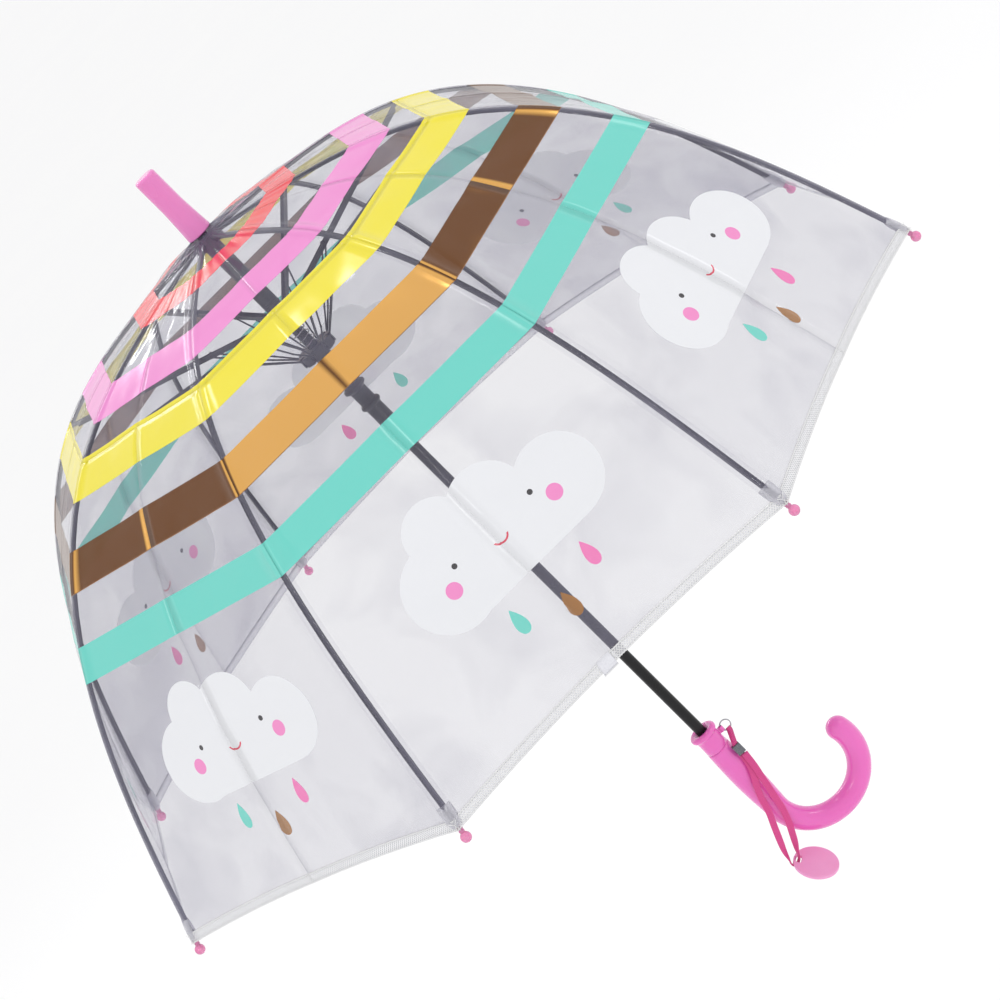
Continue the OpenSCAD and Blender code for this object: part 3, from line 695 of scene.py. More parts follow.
# ---- Shape of the rib and the film over it ----

def rib_slope(s):
    """Slope of a rib in radians, s millimetres from the crown ring."""
    if s < UPPER_LENGTH:
        return math.radians(CROWN_SLOPE + (PIN_SLOPE - CROWN_SLOPE) * (s / UPPER_LENGTH) ** 2)
    rest = 1 - (s - UPPER_LENGTH) / LOWER_LENGTH
    return math.radians(HEM_SLOPE - (HEM_SLOPE - PIN_SLOPE) * max(rest, 0) ** 2)


def rib_line():
    """The rib's pin line as (s, r, z, slope) in millimetres, every millimetre and a little past its end."""
    low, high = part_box("crown_wire")
    r, z = high[0] / MM - 0.5, (low[2] + high[2]) / 2 / MM
    line, s = [], 0.0
    while s < UPPER_LENGTH + LOWER_LENGTH + 12:
        line.append((s, r, z, rib_slope(s)))
        slope = rib_slope(s + 0.5)
        r, z, s = r + math.cos(slope), z - math.sin(slope), s + 1
    return line


class FilmLine:
    """The film's line over one rib, measured from the crown, with the rib's elbow marked."""

    def __init__(self):
        rib = rib_line()
        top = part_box("crown_notch")[1][2] / MM
        points = [(4.7, top + 2.8)]
        for s, r, z, slope in rib:
            if s < 22:
                continue
            lift = 2.45 + 0.75 * math.exp(-((s - 8) / 40) ** 2)
            points.append((r + lift * math.sin(slope), z + lift * math.cos(slope)))
            if s == UPPER_LENGTH + PIN_TONGUE:
                elbow_index = len(points) - 1
        first, second = Vector(points[0]), Vector(points[1])
        lead = [tuple(first.lerp(second, k / LEAD_POINTS)) for k in range(LEAD_POINTS)]
        points = lead + points[1:]
        # Only the stretch round the crown is smoothed
        for _ in range(SMOOTHING_PASSES):
            points = points[:1] + [
                ((a[0] + 2 * b[0] + c[0]) / 4, (a[1] + 2 * b[1] + c[1]) / 4) if i < SMOOTHED_POINTS else b
                for i, (a, b, c) in enumerate(zip(points, points[1:], points[2:]))] + points[-1:]
        self.points = [Vector(p) for p in points]
        self.length = [0.0]
        for a, b in zip(self.points, self.points[1:]):
            self.length.append(self.length[-1] + (b - a).length)
        self.elbow = self.length[elbow_index + LEAD_POINTS - 1]
        self.rib_end = self.length[-12]

    def at(self, s):
        """Point and outward normal (r, z) at s millimetres down the film."""
        low, high = 0, len(self.length) - 2
        while low < high:
            mid = (low + high + 1) // 2
            if self.length[mid] <= s:
                low = mid
            else:
                high = mid - 1
        a, b = self.points[low], self.points[low + 1]
        t = (s - self.length[low]) / (self.length[low + 1] - self.length[low])
        d = (b - a).normalized()
        return a.lerp(b, t), Vector((-d.y, d.x))


FILM = FilmLine()


def rib_angle(i):
    """Azimuth of rib i."""
    return PANEL_ANGLE * (i - 0.5)


def rib_axes(i):
    """Outward and sideways directions of rib i's plane."""
    a = rib_angle(i)
    return Vector((math.cos(a), math.sin(a), 0)), Vector((-math.sin(a), math.cos(a), 0))


def panel_point(i, side, away, s, sizes, lift=0.0):
    """Point of the half panel beside rib i: away millimetres from the rib, s down the film.

    Gives the point in metres, its outward normal, and where it lies on the cut panel (across, down).
    """
    for _ in range(2):
        half = FILM.at(s)[0].x * math.sin(PANEL_ANGLE / 2)
        share = min(away / half, 1.0)
        t = 0.5 * share
        rise = HEM_RISE * 4 * t * (1 - t) * (s / FILM.rib_end) ** 4
    here, normal = FILM.at(max(s - rise, 0.01))
    half = here.x * math.sin(PANEL_ANGLE / 2)
    out, _ = rib_axes(i)
    out_next, _ = rib_axes(i + side)
    flat = (out * (1 - t) + out_next * t) * here.x
    base = Vector((flat.x, flat.y, here.y))
    middle = (out + out_next).normalized()
    normal3 = Vector((middle.x * normal.x, middle.y * normal.x, normal.y))
    down = s - rise
    # Fold crease down the middle, weld beside the rib, and slack waves between them
    raised = sizes.crease_height / MM * min(1.0, half / 110) * share ** 5
    weld = sizes.weld_width / 2 / MM
    raised += 0.35 * min(1.0, max(0.0, (weld - away) / 0.5))
    ends = min(1.0, down / 30) * max(0.0, 1 - (s / FILM.rib_end) ** 10)
    free = math.sin(math.pi / 2 * share) * ends
    low_part = math.exp(-((down - 410) / 70) ** 2)
    raised += free * (0.9 + 1.3 * low_part) * noise.noise(base * 0.021 + Vector((7.1, 3.3, 1.7)))
    raised += free * (0.35 + 0.35 * low_part) * noise.noise(base * 0.05 + Vector((1.1, 9.3, 4.7)))
    gathers = math.exp(-down / 55) * math.sin(math.pi * share)
    raised += 0.5 * gathers * math.sin(math.pi * 5 * share + i)
    point = (base + normal3 * (raised + lift)) * MM
    sign = 1 if side > 0 else -1
    return point, normal3, (sign * (away - half) * MM if share < 1 else 0.0, down * MM)


def half_panel(name, i, side, s_from, s_to, rows, columns, sizes):
    """One half panel of film, from rib i to the crease, as a sheet with its cut pattern."""
    weld = sizes.weld_width / 2 / MM
    points, cuts, seams = [], [], []
    for row in range(rows + 1):
        s = s_from + (s_to - s_from) * row / rows
        half = FILM.at(s)[0].x * math.sin(PANEL_ANGLE / 2)
        edges = [min(d, half * 0.1 * (k + 1)) for k, d in enumerate((weld * 0.5, weld - 0.4, weld))]
        stops = [0.0] + edges
        stops += [edges[-1] + (half - edges[-1]) * (k + 1) / columns for k in range(columns)]
        for away in stops:
            point, _, cut = panel_point(i, side, away, s, sizes)
            points.append(point)
            cuts.append(cut)
            seams.append((away * MM, s * MM))
    faces = grid_faces(rows + 1, len(stops), flip=side > 0)
    piece = mesh_piece(name, points, faces, FINISHES["film_outside"])
    piece.data.materials.append(FINISHES["film_inside"])
    for label, values in (("cut", cuts), ("seam", seams)):
        layer = piece.data.uv_layers.new(name=label)
        for loop in piece.data.loops:
            layer.data[loop.index].uv = values[loop.vertex_index]
    area = sum(p.area for p in piece.data.polygons)
    wide = max(FILM.at(s_to)[0].x * math.sin(PANEL_ANGLE / 2), 1) * MM
    solid = thicken(piece, "film thickness", sizes.film_thickness)
    solid.material_offset = 1
    solid.material_offset_rim = 0
    return piece, (wide, (s_to - s_from) * MM), area


def end_frame(i):
    """Point of rib i's end and its three directions: along the rib, across it, and away from it."""
    s, r, z, slope = rib_line()[int(UPPER_LENGTH + LOWER_LENGTH)]
    out, turn = rib_axes(i)
    along = out * math.cos(slope) - Vector((0, 0, 1)) * math.sin(slope)
    up = out * math.sin(slope) + Vector((0, 0, 1)) * math.cos(slope)
    return (out * r + Vector((0, 0, z))) * MM, along, turn, up


# ---- Sizes and colours ----

class UmbrellaSizes(bpy.types.PropertyGroup):
    """Sizes that the visual pieces take beyond the CAD frame."""

    film_thickness: bpy.props.FloatProperty(
        name="Film Thickness", description="Thickness of the canopy's film", default=0.0002,
        min=0.0001, max=0.0005, precision=5, unit="LENGTH")
    crease_height: bpy.props.FloatProperty(
        name="Crease Height", description="How far the fold in the middle of a panel stands out", default=0.0014,
        min=0.0, max=0.006, precision=4, unit="LENGTH")
    weld_width: bpy.props.FloatProperty(
        name="Weld Width", description="Width of the doubled film over a rib", default=0.011,
        min=0.006, max=0.016, precision=4, unit="LENGTH")
    tape_width: bpy.props.FloatProperty(
        name="Tape Width", description="Width of the woven tape at the hem", default=0.007,
        min=0.005, max=0.01, precision=4, unit="LENGTH")
    thread_pitch: bpy.props.FloatProperty(
        name="Thread Pitch", description="Distance between the threads of the hem tape", default=0.0018,
        min=0.001, max=0.004, precision=4, unit="LENGTH")


class UmbrellaColours(bpy.types.PropertyGroup):
    """Colours of the pink mouldings and the webbing, as sRGB hex values."""

    handle_hex: bpy.props.StringProperty(
        name="Handle", description="Colour of the handle and its collar", default="#EF6CC4")
    ferrule_hex: bpy.props.StringProperty(
        name="Ferrule", description="Colour of the end cap on top of the shaft", default="#EE8ACB")
    handle_shade_hex: bpy.props.StringProperty(
        name="Handle Shade", description="Second colour that flows through the handle's pink", default="#E95FBA")
    strap_hex: bpy.props.StringProperty(
        name="Strap", description="Colour of the webbing", default="#F2559F")
    tag_hex: bpy.props.StringProperty(
        name="Tag", description="Colour of the round tag", default="#F5AAD6")


# ---- Operators ----

class UMBRELLA_OT_stage(bpy.types.Operator):
    """Make the camera, the floor and the studio lights"""

    bl_idname = "umbrella.stage"
    bl_label = "Stage"

    def execute(self, context):
        scene = context.scene
        scene.view_settings.view_transform = "Standard"
        camera = bpy.data.objects.new("camera", bpy.data.cameras.new("camera"))
        camera.data.lens = CAMERA_LENS
        camera.data.sensor_width = 36
        camera.data.clip_end = 200
        back = (CAMERA_PLACE - CAMERA_AIM).normalized()
        right = CAMERA_UP.cross(back).normalized()
        up = back.cross(right)
        turn = Matrix((right, up, back)).transposed().to_4x4()
        camera.matrix_world = Matrix.Translation(CAMERA_PLACE) @ turn
        scene.collection.objects.link(camera)
        scene.camera = camera

        material, tree = new_material("matt_white_paper")
        place = add(tree, "ShaderNodeTexCoord")
        fibre = add(tree, "ShaderNodeTexNoise", {"Vector": place.outputs["Object"], "Scale": 3.0})
        tint = mixed(tree, fibre, linear("#FFFFFF"), linear("#FDFDFE"))
        surface(tree, {"Base Color": tint, "Roughness": 0.9})
        corners = [(-1, -1), (1, -1), (1, 1), (-1, 1)]
        floor = mesh_piece("floor",
                           [(x * FLOOR_REACH, y * FLOOR_REACH, FLOOR_HEIGHT) for x, y in corners],
                           [(0, 1, 2, 3)], material)

        world = bpy.data.worlds.new("white_studio")
        world.use_nodes = True
        world.node_tree.nodes["Background"].inputs[0].default_value = (1.0, 1.0, 1.0, 1.0)
        world.node_tree.nodes["Background"].inputs[1].default_value = 0.95
        scene.world = world
        for name, spot, size, power in SOFTBOXES:
            light = bpy.data.lights.new(name, "AREA")
            light.shape = "RECTANGLE"
            light.size, light.size_y = size
            light.energy = power
            lamp = bpy.data.objects.new(name, light)
            aim = Vector(spot) - SOFTBOX_AIM
            turn = aim.to_track_quat("Z", "Y").to_matrix().to_4x4()
            lamp.matrix_world = Matrix.Translation(spot) @ turn
            scene.collection.objects.link(lamp)
        return {"FINISHED"}


class UMBRELLA_OT_wrist_strap(bpy.types.Operator):
    """Make the wrist strap with its clip, eye and tag"""

    bl_idname = "umbrella.wrist_strap"
    bl_label = "Wrist Strap"

    def execute(self, context):
        route = spline([Vector(p) * MM for p in STRAP_ROUTE], 8)
        frames = []
        for j, (along, side, _) in enumerate(path_frames(route, Vector((0, 1, 0)))):
            # The strap lies flat to the front and turns on edge where it goes round the tag
            turn = max(0.0, 1 - max(0.0, abs(j / 8 - 11.5) - 1.5) / 3.5)
            turn = math.pi / 2 * turn * turn * (3 - 2 * turn)
            side = side * math.cos(turn) + side.cross(along) * math.sin(turn)
            frames.append((along, side, side.cross(along)))
        wide, thick = 0.0049, 0.0011
        ribs = 7
        top = []
        for k in range(ribs * 4 + 1):
            x = -0.5 + k / (ribs * 4)
            round_off = math.sqrt(max(0.0, 1 - (2 * abs(x)) ** 6))
            groove = 0.00008 * (1 - math.cos(2 * math.pi * ribs * x + math.pi))
            top.append((x * wide, (0.5 * thick - groove) * max(round_off, 0.15)))
        section = top + [(x, -y) for x, y in reversed(top)]
        strap = sweep("webbing_strap", route, frames, section, FINISHES["strap_pink"])
        layer = strap.data.uv_layers.new(name="lay")
        n = len(section)
        travelled = [0.0]
        for a, b in zip(route, route[1:]):
            travelled.append(travelled[-1] + (b - a).length)
        for loop in strap.data.loops:
            row, column = divmod(loop.vertex_index, n)
            layer.data[loop.index].uv = (section[column][0], travelled[row])
        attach(strap, "root")
        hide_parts("wrist_strap")

        clip = self.clip()
        tag = self.tag()
        return {"FINISHED"}

    def clip(self):
        """Crimped metal clip on both strap ends, with the webbing eye that hangs on the ring."""
        middle = Vector((10, -9.2, 22)) * MM
        size = Vector((6.4, 4.2, 8.4)) * MM
        work = bmesh.new()
        bmesh.ops.create_cube(work, size=1.0)
        bmesh.ops.scale(work, vec=size * 0.98, verts=work.verts)
        bmesh.ops.subdivide_edges(work, edges=work.edges, cuts=8, use_grid_fill=True)
        for v in work.verts:
            # Two crimp grooves across the front and a waist where the jaws meet
            press = math.exp(-((abs(v.co.z) - 0.0018) / 0.0005) ** 2)
            if abs(v.co.y) > size.y * 0.45:
                v.co.y *= 1 - 0.2 * press * (1 if abs(v.co.x) < size.x * 0.4 else 0.3)
        bmesh.ops.translate(work, vec=middle, verts=work.verts)
        mesh = bpy.data.meshes.new("clip_shell")
        work.to_mesh(mesh)
        work.free()
        mesh.materials.append(FINISHES["clip_metal"])
        shell = bpy.data.objects.new("clip_shell", mesh)
        bpy.context.scene.collection.objects.link(shell)
        bevel = shell.modifiers.new("rounded", "BEVEL")
        bevel.width, bevel.segments = 0.0007, 3
        shell = evaluated_mesh(shell)
        shell.data.polygons.foreach_set("use_smooth", [True] * len(shell.data.polygons))
        eye_top = SPLIT_RING_CENTRE - Vector((0, 0, 0.004))
        start = middle + Vector((0, 0, size.z / 2 - 0.0008))
        loop_points = [start + Vector((0, -0.0006, 0)),
                       start.lerp(eye_top, 0.5) + Vector((0, -0.0014, 0)),
                       eye_top + Vector((0, -0.0014, -0.0006)),
                       eye_top + Vector((0, -0.0003, 0.0012)),
                       eye_top + Vector((0, 0.0011, -0.0004)),
                       start.lerp(eye_top, 0.5) + Vector((0, 0.0005, 0)),
                       start + Vector((0, 0.0008, 0))]
        path = spline(loop_points, 8)
        frames = []
        for along in directions(path):
            side = Vector((1, 0, 0))
            side = (side - along * side.dot(along)).normalized()
            frames.append((along, side, side.cross(along)))
        half, thin = 0.0019, 0.00035
        section = [(-half, -thin), (half, -thin), (half, thin), (-half, thin)]
        eye = sweep("clip_eye", path, frames, section, FINISHES["strap_pink"])
        eye.data.uv_layers.new(name="lay")
        for loop in eye.data.loops:
            p = eye.data.vertices[loop.vertex_index].co
            eye.data.uv_layers["lay"].data[loop.index].uv = (p.x - eye_top.x, p.z)
        shell.data.uv_layers.new(name="lay")
        clip = joined("strap_end_clip", [shell, eye])
        clip.data.polygons.foreach_set("use_smooth", [True] * len(clip.data.polygons))
        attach(clip, "root")
        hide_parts("strap_clip")
        return clip

    def tag(self):
        """Round tag with the slot that the strap runs through."""
        radius, thick, steps = 16.4 * MM, 2.4 * MM, 96
        tilt = Matrix.Rotation(math.radians(TAG_TILT[2]), 4,
                               "Z") @ Matrix.Rotation(math.radians(TAG_TILT[1]), 4, "Y")
        place = Matrix.Translation(TAG_SLOT) @ tilt
        centre = Vector((12.5, 0)) * MM
        half_w, half_h = 1.95 * MM, 3.65 * MM
        outer, inner = [], []
        for k in range(steps):
            a = 2 * math.pi * k / steps
            d = Vector((math.cos(a), math.sin(a)))
            b = d.dot(centre)
            outer.append(d * (b + math.sqrt(b * b - centre.length_squared + radius * radius)))
            inner.append(d * (abs(d.x / half_w) ** 4 + abs(d.y / half_h) ** 4) ** -0.25)
        top, edge, roll, dip, sink = thick / 2, 0.5 * MM, 0.15 * MM, 0.06 * MM, 0.05 * MM
        rings = []
        for shape, inset, height in (
                (outer, 0.95, top - dip), (outer, 0.45, top), (outer, 0.14, top - roll),
                (outer, 0.0, top - edge), (outer, 0.0, edge - top), (outer, 0.14, roll - top),
                (outer, 0.45, -top), (outer, 0.95, dip - top), (inner, -0.6, dip - top),
                (inner, -0.3, sink - top), (inner, 0.0, edge - top), (inner, 0.0, top - edge),
                (inner, -0.3, top - sink), (inner, -0.6, top - dip)):
            middle = centre if shape is outer else Vector((0, 0))
            rings.append([(p + (middle - p).normalized() * inset * MM, height) for p in shape])
        points = [place @ Vector((p.x, p.y, z)) for ring in rings for p, z in ring]
        faces = grid_faces(len(rings), steps, around=True, closed=True)
        tag = face_outward(mesh_piece("round_tag", points, faces, FINISHES["tag_pink"]))
        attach(tag, "root")
        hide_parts("tag_disc")
        return tag


class UMBRELLA_OT_frame_finishes(bpy.types.Operator):
    """Give the steel frame, hubs, wires and spring their finishes and smooth shading"""

    bl_idname = "umbrella.frame_finishes"
    bl_label = "Frame Finishes"

    def execute(self, context):
        tree = smooth_by_edge_tree(32)
        by_node = {"shaft": "shaft_paint", "crown_wire": "zinc_wire", "hub_wire": "zinc_wire",
                   "runner_wire": "zinc_wire", "opening_spring": "spring_wire",
                   "latch_blade": "spring_wire", "crown_notch": "hub_nylon",
                   "stop_sleeve": "hub_nylon", "upper_hub": "hub_nylon", "runner": "hub_nylon",
                   "release_button": "handle_pink"}
        for i in RIBS:
            for stem in ("rib_upper", "rib_lower", "stretcher", "spreader_wires"):
                by_node[f"{stem}_{i}"] = "rib_paint"
        for name, finish in by_node.items():
            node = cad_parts[name]
            for slot in node.material_slots:
                slot.material = FINISHES[finish]
            if not node.material_slots:
                raise RuntimeError(name + " has no material slot")
            shading = node.modifiers.new("surface shading", "NODES")
            shading.node_group = tree
        return {"FINISHED"}


class UMBRELLA_OT_mouldings(bpy.types.Operator):
    """Make the handle, its collar and the ferrule"""

    bl_idname = "umbrella.mouldings"
    bl_label = "Handle and Ferrule"

    def execute(self, context):
        self.handle()
        self.collar()
        self.ferrule()
        return {"FINISHED"}

    def handle(self):
        """Grip that swells and runs into a round crook with a domed end."""
        top, foot = 28.6, -34.0
        neck, crook, grip, drop, bend, turn = 9.2, 8.8, 10.2, -33.0, 35.5, 194.0
        path, radii = [], []
        for k in range(49):
            t = k / 48
            z = top + (foot - top) * t
            up = 1 - t
            r = crook + (neck - crook) * up + (grip - (crook + neck) / 2) * math.sin(math.pi * up)
            path.append(Vector((0, 0, z)))
            radii.append(r)
        for k in range(1, 97):
            a = math.radians(turn * k / 96)
            path.append(Vector((bend - bend * math.cos(a), 0,
                                drop - 1 * (1 - k / 96) - bend * math.sin(a))))
            radii.append(crook)
        # Domed end
        a = math.radians(turn)
        onward = Vector((math.sin(a), 0, -math.cos(a)))
        last = path[-1].copy()
        for k in range(1, 13):
            b = math.pi / 2 * k / 12
            path.append(last + onward * crook * math.sin(b) * 0.98)
            radii.append(max(crook * math.cos(b), 0.05))
        # Rounded shoulder and socket at the top
        lead = [(Vector((0, 0, top + 1.4)), neck - 0.9), (Vector((0, 0, top + 1.3)), neck - 0.55),
                (Vector((0, 0, top + 0.9)), neck - 0.3), (Vector((0, 0, top + 0.5)), neck - 0.08)]
        path = [p * MM for p, _ in lead] + [p * MM for p in path]
        radii = [r for _, r in lead] + radii
        side = Vector((0, 1, 0))
        frames = [(along, side, side.cross(along)) for along in directions(path)]
        handle = sweep("crook_handle", path, frames, circle(MM, 48), FINISHES["handle_pink"],
                       scale=radii)
        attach(handle, "root")
        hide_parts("handle")

    def collar(self):
        """Trumpet collar with a rolled lip, and the eye for the strap's ring."""
        base, top, wall, lip = 30.0, 48.0, 8.9, 10.7
        lip_mid, lip_r = top - 2.6, 2.6
        profile = [(4.3, base), (wall - 0.4, base), (wall, base + 0.4), (wall - 0.15, base + 4),
                   (wall - 0.25, top - 8.0), (wall - 0.1, top - 6.2)]
        for k in range(13):
            a = math.radians(-70 + 160 * k / 12)
            profile.append((lip - lip_r + lip_r * math.cos(a), lip_mid + lip_r * math.sin(a)))
        profile += [(6.6, top - 0.3), (5.4, top - 0.9), (4.9, top - 2.2), (4.3, top - 2.4)]
        body = lathe("collar_body", profile, FINISHES["handle_pink"], steps=96)
        hole, rim, tall = 1.05, 1.95, 2.1
        ring_profile = rounded([(hole, 0), (hole, -tall), (rim, -tall), (rim, tall), (hole, tall),
                                (hole, 0)], 0.5)
        eye = lathe("collar_eye", ring_profile[:-1], FINISHES["handle_pink"], steps=32,
                    place=Matrix.Translation(LUG_HOLE))
        neck_points = []
        for x in (7.6, 9.9):
            for y, z in ((-1.3, -2.0), (1.3, -2.0), (1.3, 2.0), (-1.3, 2.0)):
                neck_points.append(Vector((x, y, 38 + z)) * MM)
        neck_faces = [(0, 1, 2, 3), (7, 6, 5, 4), (0, 4, 5, 1), (1, 5, 6, 2), (2, 6, 7, 3),
                      (3, 7, 4, 0)]
        neck = face_outward(mesh_piece("collar_neck", neck_points, neck_faces,
                                       FINISHES["handle_pink"], smooth=False))
        collar = joined("collar_with_eye", [body, eye, neck])
        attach(collar, "root")
        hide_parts("handle_collar")

    def ferrule(self):
        """Long tapered end cap over the shaft's top."""
        low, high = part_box("ferrule")
        z0, z1 = low[2] / MM, high[2] / MM
        base, end, taper, socket = 9.3, 7.9, 24.0, 36
        profile = [(4.1, z0), (base - 0.7, z0), (base - 0.1, z0 + 0.5), (base, z0 + 1.2),
                   ((base + end) / 2 - 0.1, z0 + taper * 0.55), (end + 0.12, z0 + taper - 1),
                   (end, z0 + taper + 1.5), (end, z1 - 2.2)]
        for k in range(9):
            a = math.radians(90 * k / 8)
            profile.append((end - 1.9 + 1.9 * math.cos(a), z1 - 1.9 + 1.9 * math.sin(a)))
        profile = [(0, z0 + socket), (4.1, z0 + socket)] + profile + [(3.0, z1), (0, z1)]
        piece = lathe("end_ferrule", profile, FINISHES["ferrule_pink"], steps=96)
        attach(piece, "root")
        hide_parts("ferrule")


class UMBRELLA_OT_split_ring(bpy.types.Operator):
    """Make the two-turn split ring that the strap hangs from"""

    bl_idname = "umbrella.split_ring"
    bl_label = "Split Ring"

    def execute(self, context):
        path, frames = [], []
        for k in range(161):
            a = 2 * math.pi * 1.9 * k / 160 - 1.2
            drift = (k / 160 - 0.5) * 0.95 * MM
            out = Vector((math.cos(a), 0, math.sin(a)))
            path.append(SPLIT_RING_CENTRE + out * 4 * MM + Vector((0, drift, 0)))
            frames.append((out.cross(Vector((0, 1, 0))), out, Vector((0, 1, 0))))
        ring = sweep("two_turn_ring", path, frames, circle(0.44 * MM, 12), FINISHES["zinc_wire"])
        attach(ring, "root")
        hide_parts("strap_ring")
        return {"FINISHED"}


class UMBRELLA_OT_rib_ends(bpy.types.Operator):
    """Make the ball ends and the clear sleeves at the rib ends"""

    bl_idname = "umbrella.rib_ends"
    bl_label = "Rib Ends"

    def execute(self, context):
        ball = 3.5
        centre = 9.4
        profile = [(0, centre + ball)]
        for k in range(1, 15):
            a = math.radians(90 - 150 * k / 14)
            profile.append((ball * math.cos(a), centre + ball * math.sin(a)))
        profile += [(1.55, centre - 3.6), (1.85, centre - 4.0), (1.85, centre - 4.6),
                    (1.5, centre - 5.0), (1.85, centre - 5.4), (1.85, centre - 6.0),
                    (1.5, centre - 6.4), (1.8, centre - 6.9), (1.8, centre - 9.0),
                    (1.5, centre - 9.3), (0, centre - 9.3)]
        for i in RIBS:
            end, along, turn, up = end_frame(i)
            seat = end + up * 0.6 * MM
            place = Matrix((turn, along.cross(turn), along)).transposed().to_4x4()
            place.translation = seat
            tip = lathe(f"ball_end_{i}", profile, FINISHES["tip_pink"], steps=32, place=place)
            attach(tip, f"rib_lower_{i}")
            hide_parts(f"tip_{i}")
            # Flat sleeve of film welded over the rib's last stretch
            points, ring = [], 24
            for z, w, h in SLEEVE_RINGS:
                for j in range(ring):
                    a = 2 * math.pi * j / ring
                    x = math.copysign(abs(math.cos(a)) ** 0.7, math.cos(a)) * w
                    y = math.copysign(abs(math.sin(a)) ** 0.9, math.sin(a)) * h
                    points.append(seat + turn * x * MM + up * (y + 0.1) * MM + along * z * MM)
            faces = grid_faces(len(SLEEVE_RINGS), ring, around=True)
            sleeve = mesh_piece(f"film_sleeve_{i}", points, faces, FINISHES["film_plain"])
            face_outward(sleeve)
            thicken(sleeve, "film thickness", SLEEVE_THICKNESS)
            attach(sleeve, f"rib_lower_{i}")
        return {"FINISHED"}


class UMBRELLA_OT_canopy_film(bpy.types.Operator):
    """Make the eight printed film panels, in halves that gather beside their ribs"""

    bl_idname = "umbrella.canopy_film"
    bl_label = "Canopy Film"

    def execute(self, context):
        sizes = context.scene.umbrella_sizes
        hem = FILM.rib_end + 4 - sizes.tape_width / MM + 1.2
        parts = (("upper", 0.0, FILM.elbow, 44), ("lower", FILM.elbow, hem, 84))
        first = True
        for i in RIBS:
            for side, hand in ((1, "left"), (-1, "right")):
                for part, s_from, s_to, rows in parts:
                    piece, flat, area = half_panel(f"film_{part}_{i}_{hand}", i, side, s_from, s_to,
                                                   rows, 12, sizes)
                    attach(piece, f"rib_{part}_{i}")
                    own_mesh(piece)
                    if first:
                        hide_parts("canopy")
                        first = False
        return {"FINISHED"}


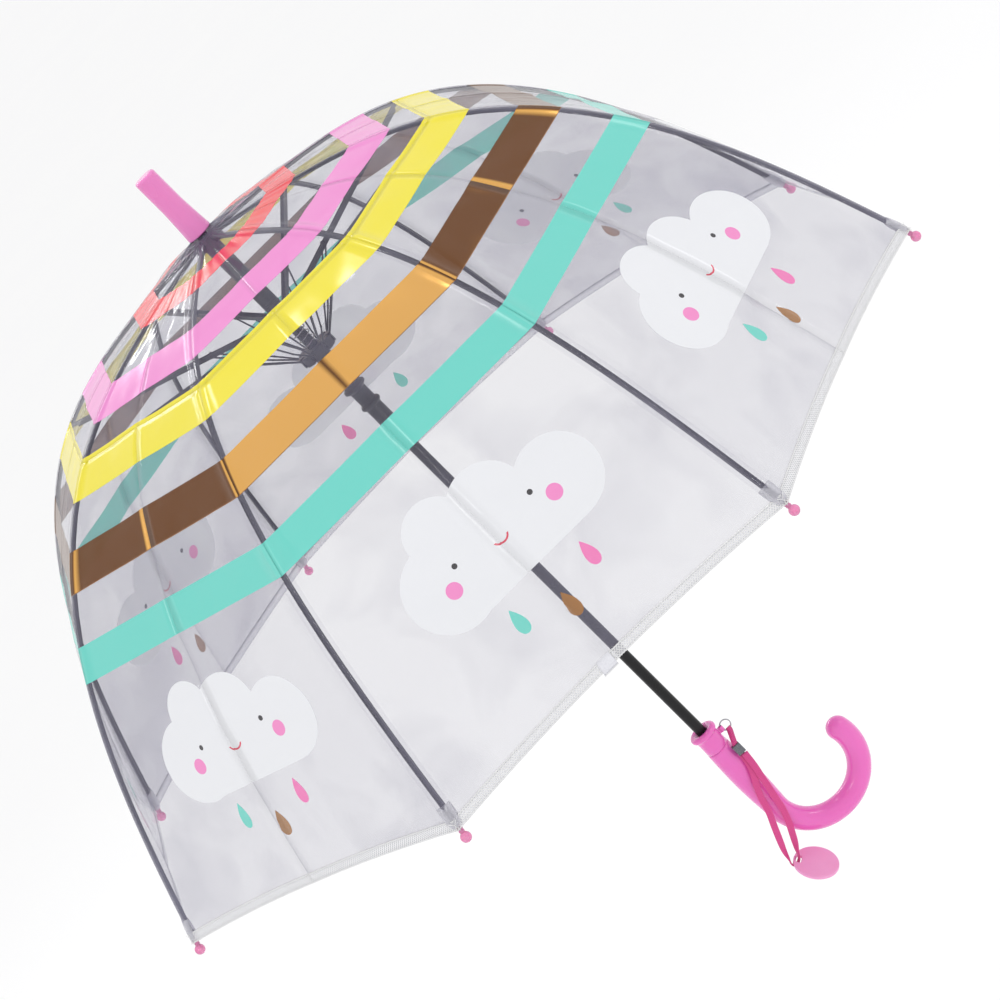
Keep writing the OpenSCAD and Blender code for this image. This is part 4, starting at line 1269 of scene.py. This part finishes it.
class UMBRELLA_OT_hem_tape(bpy.types.Operator):
    """Make the woven tape round the hem, its threads and the closing tab"""

    bl_idname = "umbrella.hem_tape"
    bl_label = "Hem Tape"

    def execute(self, context):
        sizes = context.scene.umbrella_sizes
        tree = crossed_threads_tree("crossed_tape_threads")
        width = sizes.tape_width / MM
        s_to = FILM.rib_end + 4
        first = True
        for i in RIBS:
            for side, hand in ((1, "left"), (-1, "right")):
                half = FILM.at(s_to)[0].x * math.sin(PANEL_ANGLE / 2)
                columns = 40
                points, guides = [], {0.08: [], 0.5: [], 0.92: []}
                for k in range(columns + 1):
                    away = half * k / columns
                    for share in (0.0, 0.5, 1.0):
                        s = s_to - width + width * share
                        points.append(panel_point(i, side, away, s, sizes, lift=0.25)[0])
                    for share in guides:
                        s = s_to - width + width * share
                        point, normal, _ = panel_point(i, side, away, s, sizes, lift=0.35)
                        guides[share].append((point, normal))
                faces = grid_faces(columns + 1, 3, flip=side < 0)
                carrier = mesh_piece(f"tape_carrier_{i}_{hand}", points, faces,
                                     FINISHES["tape_film"])
                thicken(carrier, "tape thickness", TAPE_THICKNESS)
                carrier = evaluated_mesh(carrier)
                threads = []
                middle = guides[0.5]
                for number, lean in enumerate((0.9, -0.9)):
                    threads.append(laid_threads(f"tape_threads_{number}", [p for p, _ in middle],
                                                [n for _, n in middle], tree, sizes.thread_pitch,
                                                sizes.tape_width / math.sin(0.9) * 0.97, 0.00042,
                                                lean, FINISHES["tape_thread"]))
                for number, share in enumerate((0.08, 0.92)):
                    line = guides[share]
                    threads.append(laid_threads(
                        f"tape_selvedge_{number}", [p for p, _ in line], [n for _, n in line], tree,
                        0.0012, 0.0014, 0.0006, 0.12, FINISHES["tape_thread"]))
                tape = joined(f"hem_tape_{i}_{hand}", [carrier] + threads)
                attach(tape, f"rib_lower_{i}")
                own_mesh(tape)
                if first:
                    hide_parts("hem_tape")
                    first = False
        self.closing_tab(sizes, tree, s_to)
        return {"FINISHED"}

    def closing_tab(self, sizes, tree, s_to):
        """Small woven tab on the front panel's hem, with a dark row of stitches at its edge."""
        i, side, rows = 6, 1, 8
        across = ((s_to - 7.6, 0.5), (s_to - 3, 1.0), (s_to + 0.6, 1.0), (s_to + 2.4, 0.7))
        half = FILM.at(s_to)[0].x * math.sin(PANEL_ANGLE / 2)
        points, edge = [], []
        for k in range(rows + 1):
            away = half - 11 + 10.8 * k / rows
            for s, lift in across:
                points.append(panel_point(i, side, away, s, sizes, lift=lift)[0])
            point, normal, _ = panel_point(i, side, away, s_to + 2.2, sizes, lift=1.2)
            edge.append((point, normal))
        cloth = mesh_piece("tab_cloth", points, grid_faces(rows + 1, 4), FINISHES["tape_thread"])
        thicken(cloth, "tab thickness", TAB_THICKNESS)
        cloth = evaluated_mesh(cloth)
        stitches = laid_threads("tab_stitches", [p for p, _ in edge], [n for _, n in edge], tree,
                                0.0009, 0.0012, 0.0007, 0.1, FINISHES["dark_thread"])
        tab = joined("closing_tab", [cloth, stitches])
        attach(tab, f"rib_lower_{i}")
        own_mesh(tab)


class UMBRELLA_PT_panel(bpy.types.Panel):
    """Lists the umbrella's operators and sizes"""

    bl_idname = "UMBRELLA_PT_panel"
    bl_label = "Umbrella"
    bl_space_type = "VIEW_3D"
    bl_region_type = "UI"
    bl_category = "Umbrella"

    def draw(self, context):
        layout = self.layout
        for operator in OPERATORS:
            layout.operator(operator.bl_idname)
        for group in (context.scene.umbrella_sizes, context.scene.umbrella_colours):
            box = layout.box()
            for name in group.bl_rna.properties.keys():
                if name not in ("rna_type", "name"):
                    box.prop(group, name)


OPERATORS = (
    UMBRELLA_OT_stage, UMBRELLA_OT_wrist_strap, UMBRELLA_OT_frame_finishes, UMBRELLA_OT_mouldings,
    UMBRELLA_OT_split_ring, UMBRELLA_OT_rib_ends, UMBRELLA_OT_canopy_film, UMBRELLA_OT_hem_tape)
CLASSES = (UmbrellaSizes, UmbrellaColours) + OPERATORS + (UMBRELLA_PT_panel,)


def register():
    for each in CLASSES:
        bpy.utils.register_class(each)
    bpy.types.Scene.umbrella_sizes = bpy.props.PointerProperty(type=UmbrellaSizes)
    bpy.types.Scene.umbrella_colours = bpy.props.PointerProperty(type=UmbrellaColours)


def unregister():
    del bpy.types.Scene.umbrella_colours
    del bpy.types.Scene.umbrella_sizes
    for each in reversed(CLASSES):
        bpy.utils.unregister_class(each)


def main():
    """Builds every piece in order."""
    register()
    make_finishes(bpy.context.scene.umbrella_colours)
    bpy.ops.umbrella.stage()
    bpy.ops.umbrella.wrist_strap()
    bpy.ops.umbrella.frame_finishes()
    bpy.ops.umbrella.mouldings()
    bpy.ops.umbrella.split_ring()
    bpy.ops.umbrella.rib_ends()
    bpy.ops.umbrella.canopy_film()
    bpy.ops.umbrella.hem_tape()


if __name__ == "__main__":
    main()
